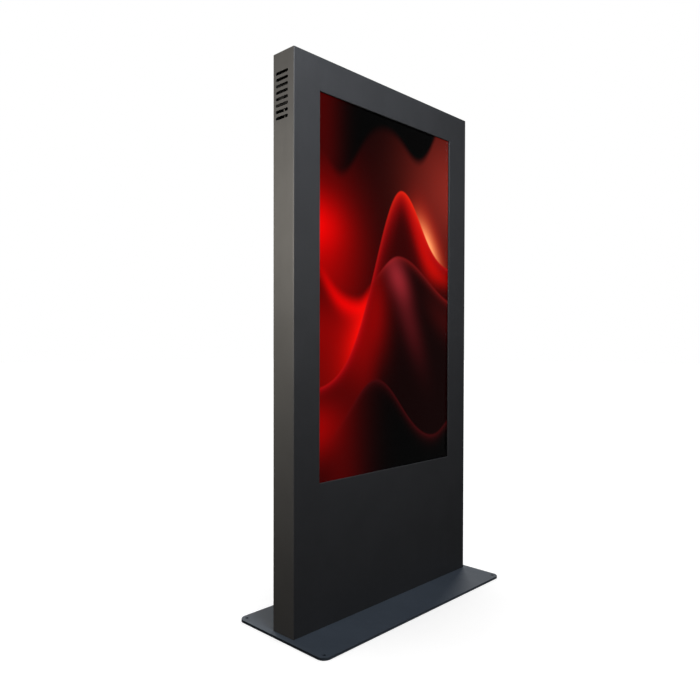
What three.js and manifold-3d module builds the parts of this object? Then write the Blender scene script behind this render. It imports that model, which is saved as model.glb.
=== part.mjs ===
// A free-standing portrait touchscreen kiosk: a slim folded steel enclosure on a flat base plate,
// a 55-inch display behind touch glass, a hinged rear service door with two cam locks, a fan behind
// each block of side vents, and the player, supply and leads inside.
// Millimetres, +Z up, front facing -Y, origin at the centre of the base plate's underside.
import * as THREE from "three";
import { mergeVertices } from "three/addons/utils/BufferGeometryUtils.js";
import Module from "manifold-3d";

const wasm = await Module();
wasm.setup();

// ---- Driving dimensions ----
const GAP = 0.3; // clearance kept between neighbouring pieces
const HEIGHT = 1780; // floor to the top of the enclosure
const BODY = { width: 900, depth: 96, sheet: 2, fold: 3, flange: 24, apronTop: 190 };
const PLATE = { width: 940, depth: 400, thickness: 8, corner: 26 };
const FLOOR_FIXING = { halfX: 450, halfY: 180, radius: 5.5 };
const SCREEN = { width: 684, height: 1212, belowTop: 104, lip: 5, fold: 2.5 };
const VENT = { count: 8, pitch: 19.4, length: 57, height: 10, belowTop: 62, fromBack: 12.5 };
const GLASS = { overlap: 10, thickness: 4, corner: 3, tape: 1.4 };
const PANEL = { width: 696, height: 1226, thickness: 3 }; // liquid-crystal cell
const TRAY = { width: 700, height: 1230, depth: 14, sheet: 1.5 }; // backlight tray
const DIFFUSER = { inset: 3, thickness: 2 };
const RAIL = { x: 250, width: 40, depth: 12, sheet: 2, length: 1180 };
const MEMBER = { height: 40, depth: 12, sheet: 2, low: 700, high: 1440 };
const REBATE = { sheet: 1.5, depth: 11.5, sill: 15.5 };
const DOOR = { sheet: 1.5, reveal: 3.5, fold: 8, slotLength: 150, slotHeight: 6, slotPitch: 16, slotRows: 6 };
const HINGE = { leaf: 19, height: 80, plate: 2, barrel: 4, bore: 2.5, pin: 2.2, heights: [330, 973, 1616] };
const LOCK = { x: 395, heights: [493, 1453], flange: 12, barrel: 9.2, bore: 6.3, plug: 6, cam: 28 };
const INLET = { x: -292, z: 95, width: 49, height: 24, body: [27, 20], recess: [23.6, 15.6], depth: 16 };
const SWITCH = { x: -238, z: 95, width: 26, height: 34, body: [20.6, 29.4], recess: [17, 26], tilt: 10 };
const SOCKET = { x: -198, z: 95, size: 24, body: 16, recess: [11.8, 8.4], depth: 14 };
const ENTRY = { x: -246, z: 95, width: 168, height: 72, cutWidth: 140, cutHeight: 46, sheet: 2 };
const CHANNEL = { length: 860, width: 72, height: 30, sheet: 3, nutRadius: 9, nutHeight: 10 };
const BOLT = { x: 340, y: 22, shank: 4.7, head: 10, headDepth: 5.3, length: 24 };
const BRACKET = { width: 600, low: 214, high: 446, sheet: 2, back: -18 };
const PLAYER = { x: -150, z: 335, width: 180, depth: 34, height: 150, wall: 1.5 };
const SUPPLY = { x: 150, z: 332, width: 115, depth: 30, height: 200, wall: 1.5 };
const BOARD = { thickness: 1.6, standoff: 6.6 };
const FAN = { size: 60, depth: 15, bore: 28, hub: 11, blades: 7, bladeTip: 26, corner: 3, fixing: 25 };
const ROUND = 28; // sides on a drilled hole or a turned piece
const LEAD_STEPS = 40; // most steps along a lead

// ---- Places worked out from the driving dimensions ----
const FRONT = -BODY.depth / 2;
const BACK = BODY.depth / 2;
const HALF_WIDTH = BODY.width / 2;
const SHELL_BOTTOM = PLATE.thickness + GAP;
const INNER_BOTTOM = SHELL_BOTTOM + BODY.sheet;
const SCREEN_TOP = HEIGHT - SCREEN.belowTop;
const SCREEN_MIDDLE = SCREEN_TOP - SCREEN.height / 2;
const LIP_END = FRONT + SCREEN.lip;
const GLASS_FRONT = LIP_END + GLASS.tape + 2 * GAP;
const GLASS_BACK = GLASS_FRONT + GLASS.thickness;
const PANEL_FRONT = GLASS_BACK + GAP;
const PANEL_BACK = PANEL_FRONT + PANEL.thickness;
const TRAY_FRONT = PANEL_BACK + GAP;
const TRAY_BACK = TRAY_FRONT + TRAY.depth;
const MOUNT_FACE = TRAY_BACK + GAP;
const MEMBER_FRONT = MOUNT_FACE + RAIL.depth + GAP;
const DOORWAY = { halfWidth: HALF_WIDTH - BODY.flange, low: BODY.apronTop, high: HEIGHT - BODY.flange };
const DOORWAY_MIDDLE = (DOORWAY.low + DOORWAY.high) / 2;
const SILL_BACK = BACK - REBATE.depth + REBATE.sheet;
const DOOR_HALF_WIDTH = DOORWAY.halfWidth - DOOR.reveal;
const DOOR_LOW = DOORWAY.low + DOOR.reveal;
const DOOR_HIGH = DOORWAY.high - DOOR.reveal;
const DOOR_HEIGHT = DOOR_HIGH - DOOR_LOW;
const ON_BACK = BACK + GAP; // face of a fitting screwed onto the back
const HINGE_X = -DOOR_HALF_WIDTH - (DOOR.reveal - REBATE.sheet - GAP) / 2;
const HINGE_Y = ON_BACK + HINGE.barrel;
const ENTRY_FACE = ON_BACK + ENTRY.sheet;
const ON_ENTRY = ENTRY_FACE + GAP;
const FITTING_FLANGE = 2;
const VENT_MIDDLE_Y = BACK - VENT.fromBack - VENT.length / 2;
const VENT_MIDDLE_Z = HEIGHT - VENT.belowTop - ((VENT.count - 1) * VENT.pitch) / 2;
const ON_BRACKET = BRACKET.back + GAP;

// ---- Finishes ----
const COATED_STEEL = { color: 0x38383b, roughness: 0.55, metalness: 0.2 };
const PLATE_STEEL = { color: 0x3c4048, roughness: 0.5, metalness: 0.25 };
const BARE_STEEL = { color: 0xa9abae, roughness: 0.4, metalness: 0.9 };
const ZINC = { color: 0xc2c3c0, roughness: 0.35, metalness: 0.95 };
const ALUMINIUM = { color: 0xb4b7ba, roughness: 0.45, metalness: 0.85 };
const BRASS = { color: 0xb8954a, roughness: 0.35, metalness: 0.95 };
const CLEAR_GLASS = { color: 0x101114, roughness: 0.05, metalness: 0, opacity: 0.35, transparent: true };
const PICTURE = { color: 0x5c0504, roughness: 0.2, metalness: 0 };
const FOAM = { color: 0x161617, roughness: 0.95, metalness: 0 };
const BLACK_PLASTIC = { color: 0x18181a, roughness: 0.5, metalness: 0 };
const WHITE_PLASTIC = { color: 0xe8e8e4, roughness: 0.5, metalness: 0 };
const CIRCUIT_BOARD = { color: 0x1d5a34, roughness: 0.45, metalness: 0.1 };
const CABLE_SHEATH = { color: 0x1b1b1c, roughness: 0.7, metalness: 0 };

// ---- Solids and outlines ----

// A closed geometry as a solid that can be joined and cut.
function solid(geometry) {
  const bare = geometry.clone();
  bare.deleteAttribute("normal");
  bare.deleteAttribute("uv");
  const merged = mergeVertices(bare);
  return new wasm.Manifold(
    new wasm.Mesh({
      numProp: 3,
      vertProperties: new Float32Array(merged.attributes.position.array),
      triVerts: new Uint32Array(merged.index.array),
    }),
  );
}

// A solid as a geometry that a mesh can show.
function geometryOf(body) {
  const mesh = body.getMesh();
  const geometry = new THREE.BufferGeometry();
  geometry.setAttribute("position", new THREE.BufferAttribute(new Float32Array(mesh.vertProperties), 3));
  geometry.setIndex(new THREE.BufferAttribute(new Uint32Array(mesh.triVerts), 1));
  geometry.computeVertexNormals();
  return geometry;
}

// A block given by its lowest and highest coordinate along each axis.
function block([x0, x1], [y0, y1], [z0, z1]) {
  const geometry = new THREE.BoxGeometry(x1 - x0, y1 - y0, z1 - z0);
  return solid(geometry.translate((x0 + x1) / 2, (y0 + y1) / 2, (z0 + z1) / 2));
}

// The range of a size centred on a place.
function about(middle, size) {
  return [middle - size / 2, middle + size / 2];
}

// The directions that an outline's x and y, and its depth, take in space.
const ALONG_X = [new THREE.Vector3(0, 1, 0), new THREE.Vector3(0, 0, 1), new THREE.Vector3(1, 0, 0)];
const ALONG_Y = [new THREE.Vector3(1, 0, 0), new THREE.Vector3(0, 0, 1), new THREE.Vector3(0, -1, 0)];
const ALONG_Z = [new THREE.Vector3(1, 0, 0), new THREE.Vector3(0, 1, 0), new THREE.Vector3(0, 0, 1)];

// An outline carried from one coordinate to another along an axis.
function extrude(outline, axis, from, to, curveSegments = 2) {
  const depth = to - from;
  const geometry = new THREE.ExtrudeGeometry(outline, { depth, bevelEnabled: false, curveSegments });
  geometry.applyMatrix4(new THREE.Matrix4().makeBasis(...axis));
  const start = axis === ALONG_Y ? -to : from;
  return solid(geometry.translate(...axis[2].clone().multiplyScalar(start).toArray()));
}

function roundedRectangle(width, height, radius, x = 0, y = 0, Path = THREE.Shape) {
  const [left, right] = about(x, width);
  const [low, high] = about(y, height);
  const outline = new Path();
  outline.moveTo(left + radius, low);
  outline.absarc(right - radius, low + radius, radius, -Math.PI / 2, 0);
  outline.absarc(right - radius, high - radius, radius, 0, Math.PI / 2);
  outline.absarc(left + radius, high - radius, radius, Math.PI / 2, Math.PI);
  outline.absarc(left + radius, low + radius, radius, Math.PI, 1.5 * Math.PI);
  outline.closePath();
  return outline;
}

function rectangle(width, height, x = 0, y = 0, Path = THREE.Shape) {
  const [left, right] = about(x, width);
  const [low, high] = about(y, height);
  return new Path([
    new THREE.Vector2(left, low),
    new THREE.Vector2(right, low),
    new THREE.Vector2(right, high),
    new THREE.Vector2(left, high),
  ]);
}

function circle(radius, x = 0, y = 0, sides = ROUND) {
  const points = [];
  for (let i = 0; i < sides; i++) {
    const angle = (2 * Math.PI * i) / sides;
    points.push(new THREE.Vector2(x + radius * Math.cos(angle), y + radius * Math.sin(angle)));
  }
  return new THREE.Shape(points);
}

function polygon(points) {
  return new THREE.Shape(points.map(([x, y]) => new THREE.Vector2(x, y)));
}

// A flat ring: a rectangle with a smaller one cut out of it.
function ring(outer, inner, axis, from, to, middle = 0) {
  const outline = rectangle(...outer, 0, middle);
  outline.holes.push(rectangle(...inner, 0, middle, THREE.Path));
  return extrude(outline, axis, from, to);
}

function rod(radius, axis, from, to, x = 0, y = 0, sides = ROUND) {
  return extrude(circle(radius, x, y, sides), axis, from, to);
}

function joined(bodies) {
  return bodies.reduce((whole, body) => whole.add(body));
}

function cut(body, tools) {
  return tools.reduce((rest, tool) => rest.subtract(tool), body);
}

// A round lead along hand-placed points.
function lead(points, radius) {
  const path = new THREE.CatmullRomCurve3(
    points.map((point) => new THREE.Vector3(...point)),
    false,
    "centripetal",
  );
  const steps = Math.min(LEAD_STEPS, Math.round(path.getLength() / (5 * radius)));
  const section = circle(radius, 0, 0, 8);
  return new THREE.ExtrudeGeometry(section, { steps, extrudePath: path, bevelEnabled: false });
}

// ---- The kiosk ----
const kiosk = new THREE.Group();
kiosk.name = "kiosk";

function add(name, shape, finish, group = kiosk) {
  const geometry = shape.isBufferGeometry ? shape : geometryOf(shape);
  const mesh = new THREE.Mesh(geometry, new THREE.MeshStandardMaterial(finish));
  mesh.name = name;
  group.add(mesh);
  return mesh;
}

// A group that holds a sub-assembly at its own place.
function place(x, y, z, turn = 0) {
  const group = new THREE.Group();
  group.position.set(x, y, z);
  group.rotation.z = turn;
  kiosk.add(group);
  return group;
}

const SIDES = [
  { name: "left", sign: -1 },
  { name: "right", sign: 1 },
];
const CORNERS = [
  [-1, -1],
  [1, -1],
  [1, 1],
  [-1, 1],
];

// ---- Base ----

// The bolts' outline grown by a margin: a flush countersunk head under a plain shank.
function boltProfile(margin, bottom, top) {
  const neck = GAP + BOLT.headDepth;
  return new THREE.LatheGeometry(
    [
      new THREE.Vector2(0, bottom),
      new THREE.Vector2(BOLT.head + margin, bottom),
      new THREE.Vector2(BOLT.head + margin, GAP),
      new THREE.Vector2(BOLT.shank + margin, neck),
      new THREE.Vector2(BOLT.shank + margin, top),
      new THREE.Vector2(0, top),
    ],
    ROUND,
  ).rotateX(Math.PI / 2);
}

// The same outline as a cutter placed at one bolt.
function boltHole([signX, signY]) {
  return solid(boltProfile(GAP, -1, CHANNEL.height).translate(signX * BOLT.x, signY * BOLT.y, 0));
}

function basePlate() {
  const outline = roundedRectangle(PLATE.width, PLATE.depth, PLATE.corner);
  for (const [signX, signY] of CORNERS) {
    outline.holes.push(circle(FLOOR_FIXING.radius, signX * FLOOR_FIXING.halfX, signY * FLOOR_FIXING.halfY));
  }
  return cut(extrude(outline, ALONG_Z, 0, PLATE.thickness, 4), CORNERS.map(boltHole));
}

// An upright channel inside the enclosure's bottom, with a weld nut over each bolt.
function baseChannel() {
  const low = INNER_BOTTOM + GAP;
  const high = low + CHANNEL.height;
  const half = CHANNEL.width / 2;
  const section = polygon([
    [-half, low],
    [half, low],
    [half, high],
    [half - CHANNEL.sheet, high],
    [half - CHANNEL.sheet, low + CHANNEL.sheet],
    [-half + CHANNEL.sheet, low + CHANNEL.sheet],
    [-half + CHANNEL.sheet, high],
    [-half, high],
  ]);
  const nutTop = low + CHANNEL.sheet + CHANNEL.nutHeight;
  const nuts = CORNERS.map(([signX, signY]) =>
    rod(CHANNEL.nutRadius, ALONG_Z, low + 1, nutTop, signX * BOLT.x, signY * BOLT.y, 6),
  );
  const channel = extrude(section, ALONG_X, -CHANNEL.length / 2, CHANNEL.length / 2);
  return cut(joined([channel, ...nuts]), CORNERS.map(boltHole));
}

function addBase() {
  add("base_plate", basePlate(), PLATE_STEEL);
  add("base_channel", baseChannel(), BARE_STEEL);
  CORNERS.forEach(([signX, signY], i) => {
    const bolt = add(`base_bolt_${i + 1}`, solid(boltProfile(0, GAP, BOLT.length)), ZINC);
    bolt.position.set(signX * BOLT.x, signY * BOLT.y, 0);
  });
}

// ---- Enclosure ----

// One block of horizontal slots, cut straight across both side walls.
function ventCutters() {
  const cutters = [];
  for (let i = 0; i < VENT.count; i++) {
    const height = HEIGHT - VENT.belowTop - i * VENT.pitch;
    const slot = roundedRectangle(VENT.length, VENT.height, VENT.height / 2 - 0.05, VENT_MIDDLE_Y, height);
    cutters.push(extrude(slot, ALONG_X, -HALF_WIDTH - 1, HALF_WIDTH + 1));
  }
  return cutters;
}

// What the bend round the screen opening takes off a square edge.
function openingBend() {
  const reach = SCREEN.fold;
  const [left, right] = about(0, SCREEN.width + 2 * reach);
  const [low, high] = about(SCREEN_MIDDLE, SCREEN.height + 2 * reach);
  const bends = [
    rod(reach, ALONG_Z, low, high, left, FRONT + reach),
    rod(reach, ALONG_Z, low, high, right, FRONT + reach),
    rod(reach, ALONG_X, left, right, FRONT + reach, low),
    rod(reach, ALONG_X, left, right, FRONT + reach, high),
  ];
  return cut(block([left, right], [FRONT - 1, FRONT + reach], [low, high]), bends);
}

// One folded and welded skin: front, sides, top, bottom, rear flanges and the apron under the door.
function enclosureShell() {
  const inside = [BODY.width - 2 * BODY.sheet, BODY.depth - 2 * BODY.sheet];
  const wall = roundedRectangle(BODY.width, BODY.depth, BODY.fold);
  wall.holes.push(roundedRectangle(...inside, BODY.fold - BODY.sheet, 0, 0, THREE.Path));
  const lid = roundedRectangle(BODY.width, BODY.depth, BODY.fold);
  const skin = joined([
    extrude(wall, ALONG_Z, SHELL_BOTTOM, HEIGHT),
    extrude(lid, ALONG_Z, SHELL_BOTTOM, INNER_BOTTOM),
    extrude(lid, ALONG_Z, HEIGHT - BODY.sheet, HEIGHT),
  ]);
  const open = cut(skin, [
    extrude(rectangle(SCREEN.width, SCREEN.height, 0, SCREEN_MIDDLE), ALONG_Y, FRONT - 1, FRONT + 5),
    block(about(0, 2 * DOORWAY.halfWidth), [BACK - 5, BACK + 1], [DOORWAY.low, DOORWAY.high]),
    block(about(ENTRY.x, ENTRY.cutWidth), [BACK - 5, BACK + 1], about(ENTRY.z, ENTRY.cutHeight)),
    ...ventCutters(),
    ...CORNERS.map(boltHole),
  ]);
  const lipOuter = [SCREEN.width + 2 * BODY.sheet, SCREEN.height + 2 * BODY.sheet];
  const lip = ring(lipOuter, [SCREEN.width, SCREEN.height], ALONG_Y, FRONT, LIP_END, SCREEN_MIDDLE);
  return open.add(lip).subtract(openingBend());
}

// The frame inside the doorway: an edge strip and, behind the door's folds, a sill.
function doorRebateFrame() {
  const outer = [2 * DOORWAY.halfWidth - 2 * GAP, DOORWAY.high - DOORWAY.low - 2 * GAP];
  const edge = outer.map((size) => size - 2 * REBATE.sheet);
  const sill = outer.map((size) => size - 2 * REBATE.sill);
  return joined([
    ring(outer, edge, ALONG_Y, BACK - REBATE.depth, BACK, DOORWAY_MIDDLE),
    ring(outer, sill, ALONG_Y, BACK - REBATE.depth, SILL_BACK, DOORWAY_MIDDLE),
  ]);
}

// The foam strip that the closed door's folds rest against.
function doorGasket() {
  const outer = [2 * DOOR_HALF_WIDTH - 2, DOOR_HEIGHT - 2];
  const inner = outer.map((size) => size - 20);
  return ring(outer, inner, ALONG_Y, SILL_BACK + GAP, BACK - DOOR.fold - GAP, DOORWAY_MIDDLE);
}

function addEnclosure() {
  add("enclosure_shell", enclosureShell(), COATED_STEEL);
  add("door_rebate_frame", doorRebateFrame(), COATED_STEEL);
  add("door_gasket", doorGasket(), FOAM);
}

// ---- Rear door ----

function doorSlots() {
  const slots = [];
  const inset = 90; // from the door's end to the first row
  for (let row = 0; row < DOOR.slotRows; row++) {
    const rise = inset + row * DOOR.slotPitch;
    for (const height of [DOOR_LOW + rise, DOOR_HIGH - rise]) {
      for (const { sign } of SIDES) {
        const middle = sign * (DOOR.slotLength / 2 + 15);
        const radius = DOOR.slotHeight / 2 - 0.05;
        slots.push(roundedRectangle(DOOR.slotLength, DOOR.slotHeight, radius, middle, height, THREE.Path));
      }
    }
  }
  return slots;
}

// A shallow pan: a slotted sheet with its edges folded towards the inside, and one stiffening hat.
function rearDoor() {
  const outline = rectangle(2 * DOOR_HALF_WIDTH, DOOR_HEIGHT, 0, DOORWAY_MIDDLE);
  outline.holes.push(...doorSlots());
  for (const height of LOCK.heights) {
    outline.holes.push(circle(LOCK.barrel + GAP, LOCK.x, height));
  }
  const outer = [2 * DOOR_HALF_WIDTH, DOOR_HEIGHT];
  const inner = outer.map((size) => size - 2 * DOOR.sheet);
  const inside = BACK - DOOR.sheet;
  const hat = polygon([
    [-36, inside + 0.5],
    [-36, inside - 1.5],
    [-18, inside - 1.5],
    [-13, inside - 9],
    [13, inside - 9],
    [18, inside - 1.5],
    [36, inside - 1.5],
    [36, inside + 0.5],
    [16.8, inside + 0.5],
    [11.8, inside - 7.5],
    [-11.8, inside - 7.5],
    [-16.8, inside + 0.5],
  ]);
  return joined([
    extrude(outline, ALONG_Y, inside, BACK),
    ring(outer, inner, ALONG_Y, BACK - DOOR.fold, BACK, DOORWAY_MIDDLE),
    extrude(hat, ALONG_Z, DOOR_LOW + 200, DOOR_HIGH - 200),
  ]);
}

// Hinge geometry, about its pin's axis, with the middle of its height at zero.
const KNUCKLE = (HINGE.height - 2) / 3;

function hingeLeaf(sign, knuckles) {
  const leafNear = 1 * sign;
  const leafFar = (HINGE.leaf + 1) * sign;
  const range = [Math.min(leafNear, leafFar), Math.max(leafNear, leafFar)];
  const leaf = block(range, [-HINGE.barrel, HINGE.plate - HINGE.barrel], about(0, HINGE.height));
  const barrels = knuckles.map(([low, high]) => rod(HINGE.barrel, ALONG_Z, low, high));
  const clear = HINGE.barrel + GAP;
  const outer = [[KNUCKLE / 2, HINGE.height], [-HINGE.height, -KNUCKLE / 2]];
  const middle = [[-KNUCKLE / 2 - 1, KNUCKLE / 2 + 1]];
  const gaps = sign > 0 ? outer : middle;
  const notches = gaps.map(([low, high]) => block([-clear, clear], [-clear, clear], [low, high]));
  const bore = rod(HINGE.bore, ALONG_Z, -HINGE.height, HINGE.height);
  return cut(cut(leaf, notches).add(joined(barrels)), [bore]);
}

function hingePin() {
  const half = HINGE.height / 2;
  return new THREE.LatheGeometry(
    [
      new THREE.Vector2(0, -half - 1),
      new THREE.Vector2(HINGE.pin, -half),
      new THREE.Vector2(HINGE.pin, half + GAP),
      new THREE.Vector2(HINGE.barrel - 0.4, half + GAP),
      new THREE.Vector2(HINGE.barrel - 0.4, half + 1.6),
      new THREE.Vector2(0, half + 2.6),
    ],
    ROUND,
  ).rotateX(Math.PI / 2);
}

function addHinges() {
  const half = HINGE.height / 2;
  const ends = [[-half, -half + KNUCKLE], [half - KNUCKLE, half]];
  HINGE.heights.forEach((height, i) => {
    const hinge = place(HINGE_X, HINGE_Y, height);
    add(`hinge_frame_leaf_${i + 1}`, hingeLeaf(-1, ends), BARE_STEEL, hinge);
    add(`hinge_door_leaf_${i + 1}`, hingeLeaf(1, [[-KNUCKLE / 2, KNUCKLE / 2]]), BARE_STEEL, hinge);
    add(`hinge_pin_${i + 1}`, hingePin(), ZINC, hinge);
  });
}

// Cam lock pieces, about the lock's axis, with y measured as on the kiosk.
const LOCK_INNER = BACK - REBATE.depth;
const LOCK_OUTER = ON_BACK + 2.2;

function lockBody() {
  const body = joined([
    rod(LOCK.flange, ALONG_Y, ON_BACK, LOCK_OUTER),
    rod(LOCK.barrel, ALONG_Y, LOCK_INNER, LOCK_OUTER - 1),
  ]);
  return cut(body, [rod(LOCK.bore, ALONG_Y, LOCK_INNER - 1, LOCK_OUTER + 1)]);
}

function lockPlug() {
  const plug = rod(LOCK.plug, ALONG_Y, LOCK_INNER, LOCK_OUTER - 0.4);
  return cut(plug, [block([-0.9, 0.9], [LOCK_OUTER - 7, LOCK_OUTER], [-4, 4])]);
}

// The tongue hangs down when the lock is open; a quarter turn takes it behind the sill.
function lockCam() {
  const thickness = 2.5;
  const face = LOCK_INNER - GAP;
  const outline = new THREE.Shape();
  outline.absarc(0, 0, 9, 0, Math.PI);
  outline.lineTo(-8, -LOCK.cam + 3);
  outline.lineTo(-5, -LOCK.cam);
  outline.lineTo(5, -LOCK.cam);
  outline.lineTo(8, -LOCK.cam + 3);
  outline.closePath();
  return joined([
    extrude(outline, ALONG_Y, face - thickness, face, 4),
    rod(5, ALONG_Y, face - thickness - 3, face - thickness / 2, 0, 0, 6),
  ]);
}

function addLocks() {
  const names = ["lower", "upper"];
  LOCK.heights.forEach((height, i) => {
    const lock = place(LOCK.x, 0, height);
    add(`${names[i]}_lock_body`, lockBody(), ZINC, lock);
    add(`${names[i]}_lock_plug`, lockPlug(), BRASS, lock);
    add(`${names[i]}_lock_cam`, lockCam(), ZINC, lock);
  });
}

function addDoor() {
  add("rear_door", rearDoor(), COATED_STEEL);
  addHinges();
  addLocks();
}

// ---- Power and network entry ----

function entryPlate() {
  const outline = roundedRectangle(ENTRY.width, ENTRY.height, 5, ENTRY.x, ENTRY.z);
  for (const part of [INLET, SWITCH]) {
    const [width, height] = part.body;
    outline.holes.push(rectangle(width + 2 * GAP, height + 2 * GAP, part.x, part.z, THREE.Path));
  }
  const socketCut = SOCKET.body + 2 * GAP;
  outline.holes.push(rectangle(socketCut, socketCut, SOCKET.x, SOCKET.z, THREE.Path));
  for (const [signX, signZ] of CORNERS) {
    const x = ENTRY.x + signX * (ENTRY.width / 2 - 7);
    const z = ENTRY.z + signZ * (ENTRY.height / 2 - 7);
    outline.holes.push(circle(2.2, x, z, 12));
  }
  return extrude(outline, ALONG_Y, ON_BACK, ENTRY_FACE);
}

// A flanged fitting: a front flange, a body through the plate, and a blind recess from outside.
function flangedFitting(flange, body, recess, inner, depth, x, z) {
  const flangeFace = ON_ENTRY + FITTING_FLANGE;
  return cut(
    joined([
      extrude(roundedRectangle(...flange, 2, x, z), ALONG_Y, ON_ENTRY, flangeFace),
      block(about(x, body[0]), [inner, ON_ENTRY + 1], about(z, body[1])),
    ]),
    [extrude(recess, ALONG_Y, flangeFace - depth, flangeFace + 1)],
  );
}

// The mains inlet's opening: a rectangle with its two upper corners cut off.
function inletOutline() {
  const half = INLET.recess[0] / 2;
  const [low, high] = about(INLET.z, INLET.recess[1]);
  const cutOff = 4.5;
  return polygon([
    [INLET.x - half, low],
    [INLET.x + half, low],
    [INLET.x + half, high - cutOff],
    [INLET.x + half - cutOff, high],
    [INLET.x - half + cutOff, high],
    [INLET.x - half, high - cutOff],
  ]);
}

function addInlet() {
  const recessFloor = ON_ENTRY + FITTING_FLANGE - INLET.depth;
  const inner = recessFloor - 3;
  const flange = [INLET.width, INLET.height];
  const housing = flangedFitting(flange, INLET.body, inletOutline(), inner, INLET.depth, INLET.x, INLET.z);
  const wells = SIDES.map(({ sign }) =>
    rod(1.7, ALONG_Y, ON_ENTRY - 1, ON_ENTRY + 3, INLET.x + sign * 20, INLET.z, 12),
  );
  add("power_inlet", cut(housing, wells), BLACK_PLASTIC);
  const pins = { live: [-7, -2], neutral: [7, -2], earth: [0, 2] };
  for (const [name, [x, z]] of Object.entries(pins)) {
    const blade = block(about(INLET.x + x, 2), [recessFloor + GAP, ON_ENTRY - 1], about(INLET.z + z, 4));
    add(`inlet_${name}_pin`, blade, BRASS);
  }
}

// The rocker's outline across its pivot: two wings meeting in a shallow valley.
function rocker() {
  const outline = polygon([
    [-11, 5.6],
    [-11.4, -2.5],
    [-6, -5.5],
    [6, -5.5],
    [11.4, -2.5],
    [11, 5.6],
    [0, 3.8],
  ]);
  const swapped = [new THREE.Vector3(0, 0, 1), new THREE.Vector3(0, 1, 0), new THREE.Vector3(-1, 0, 0)];
  return extrude(outline, swapped, -SWITCH.recess[0] / 2 + GAP, SWITCH.recess[0] / 2 - GAP);
}

const ROCKER_PIVOT_Y = ON_ENTRY - 0.6;

function addSwitch() {
  const flange = [SWITCH.width, SWITCH.height];
  const recess = rectangle(...SWITCH.recess, SWITCH.x, SWITCH.z);
  const housing = flangedFitting(flange, SWITCH.body, recess, BACK - 14, 14, SWITCH.x, SWITCH.z);
  add("power_switch_housing", housing, BLACK_PLASTIC);
  const group = place(SWITCH.x, ROCKER_PIVOT_Y, SWITCH.z);
  const key = add("power_switch_rocker", rocker(), BLACK_PLASTIC, group);
  key.rotation.x = -THREE.MathUtils.degToRad(SWITCH.tilt);
}

function addNetworkSocket() {
  const flange = [SOCKET.size, SOCKET.size];
  const body = [SOCKET.body, SOCKET.body];
  const inner = ON_ENTRY - SOCKET.depth - 2;
  const recess = rectangle(...SOCKET.recess, SOCKET.x, SOCKET.z);
  const housing = flangedFitting(flange, body, recess, inner, SOCKET.depth, SOCKET.x, SOCKET.z);
  const notchFloor = SOCKET.z - SOCKET.recess[1] / 2 - 2.4;
  const notch = block(about(SOCKET.x, 6), [ON_ENTRY - 6, ON_ENTRY + 3], [notchFloor, SOCKET.z]);
  add("network_socket", cut(housing, [notch]), BLACK_PLASTIC);
}

function addEntry() {
  add("entry_plate", entryPlate(), COATED_STEEL);
  addInlet();
  addSwitch();
  addNetworkSocket();
}

// ---- Display ----

function glassGasket() {
  const width = SCREEN.width + 2 * GLASS.overlap - 4;
  const height = SCREEN.height + 2 * GLASS.overlap - 4;
  const inner = [SCREEN.width + 1, SCREEN.height + 1];
  return ring([width, height], inner, ALONG_Y, LIP_END + GAP, LIP_END + GAP + GLASS.tape, SCREEN_MIDDLE);
}

function touchGlass() {
  const width = SCREEN.width + 2 * GLASS.overlap;
  const height = SCREEN.height + 2 * GLASS.overlap;
  const outline = roundedRectangle(width, height, GLASS.corner, 0, SCREEN_MIDDLE);
  return extrude(outline, ALONG_Y, GLASS_FRONT, GLASS_BACK);
}

// An open-fronted pan with three pressed ribs across its back.
function backlightTray() {
  const outer = [TRAY.width, TRAY.height];
  const inner = outer.map((size) => size - 2 * TRAY.sheet);
  const ribs = [0.12, 0.62, 0.92].map((share) => {
    const height = SCREEN_MIDDLE + (share - 0.5) * TRAY.height;
    return block(about(0, 380), [TRAY_BACK - 1, TRAY_BACK + 2], about(height, 24));
  });
  return joined([
    ring(outer, inner, ALONG_Y, TRAY_FRONT, TRAY_BACK, SCREEN_MIDDLE),
    block(about(0, TRAY.width), [TRAY_BACK - TRAY.sheet, TRAY_BACK], about(SCREEN_MIDDLE, TRAY.height)),
    ...ribs,
  ]);
}

function diffuserPlate() {
  const width = TRAY.width - 2 * (TRAY.sheet + DIFFUSER.inset);
  const height = TRAY.height - 2 * (TRAY.sheet + DIFFUSER.inset);
  const front = TRAY_FRONT + GAP;
  return block(about(0, width), [front, front + DIFFUSER.thickness], about(SCREEN_MIDDLE, height));
}

// A hat section standing on the tray's back.
function displayRail(x) {
  const near = MOUNT_FACE;
  const far = MOUNT_FACE + RAIL.depth;
  const half = RAIL.width / 2;
  const crown = half - 9;
  const section = polygon([
    [x - half, near],
    [x - crown, near],
    [x - crown, far - RAIL.sheet],
    [x + crown, far - RAIL.sheet],
    [x + crown, near],
    [x + half, near],
    [x + half, near + RAIL.sheet],
    [x + crown + RAIL.sheet, near + RAIL.sheet],
    [x + crown + RAIL.sheet, far],
    [x - crown - RAIL.sheet, far],
    [x - crown - RAIL.sheet, near + RAIL.sheet],
    [x - half, near + RAIL.sheet],
  ]);
  return extrude(section, ALONG_Z, ...about(SCREEN_MIDDLE, RAIL.length));
}

// A channel from side wall to side wall, behind the rails.
function crossMember(height) {
  const near = MEMBER_FRONT;
  const far = MEMBER_FRONT + MEMBER.depth;
  const [low, high] = about(height, MEMBER.height);
  const section = polygon([
    [near, low],
    [far, low],
    [far, low + MEMBER.sheet],
    [near + MEMBER.sheet, low + MEMBER.sheet],
    [near + MEMBER.sheet, high - MEMBER.sheet],
    [far, high - MEMBER.sheet],
    [far, high],
    [near, high],
  ]);
  const half = HALF_WIDTH - BODY.sheet - GAP;
  return extrude(section, ALONG_X, -half, half);
}

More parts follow.
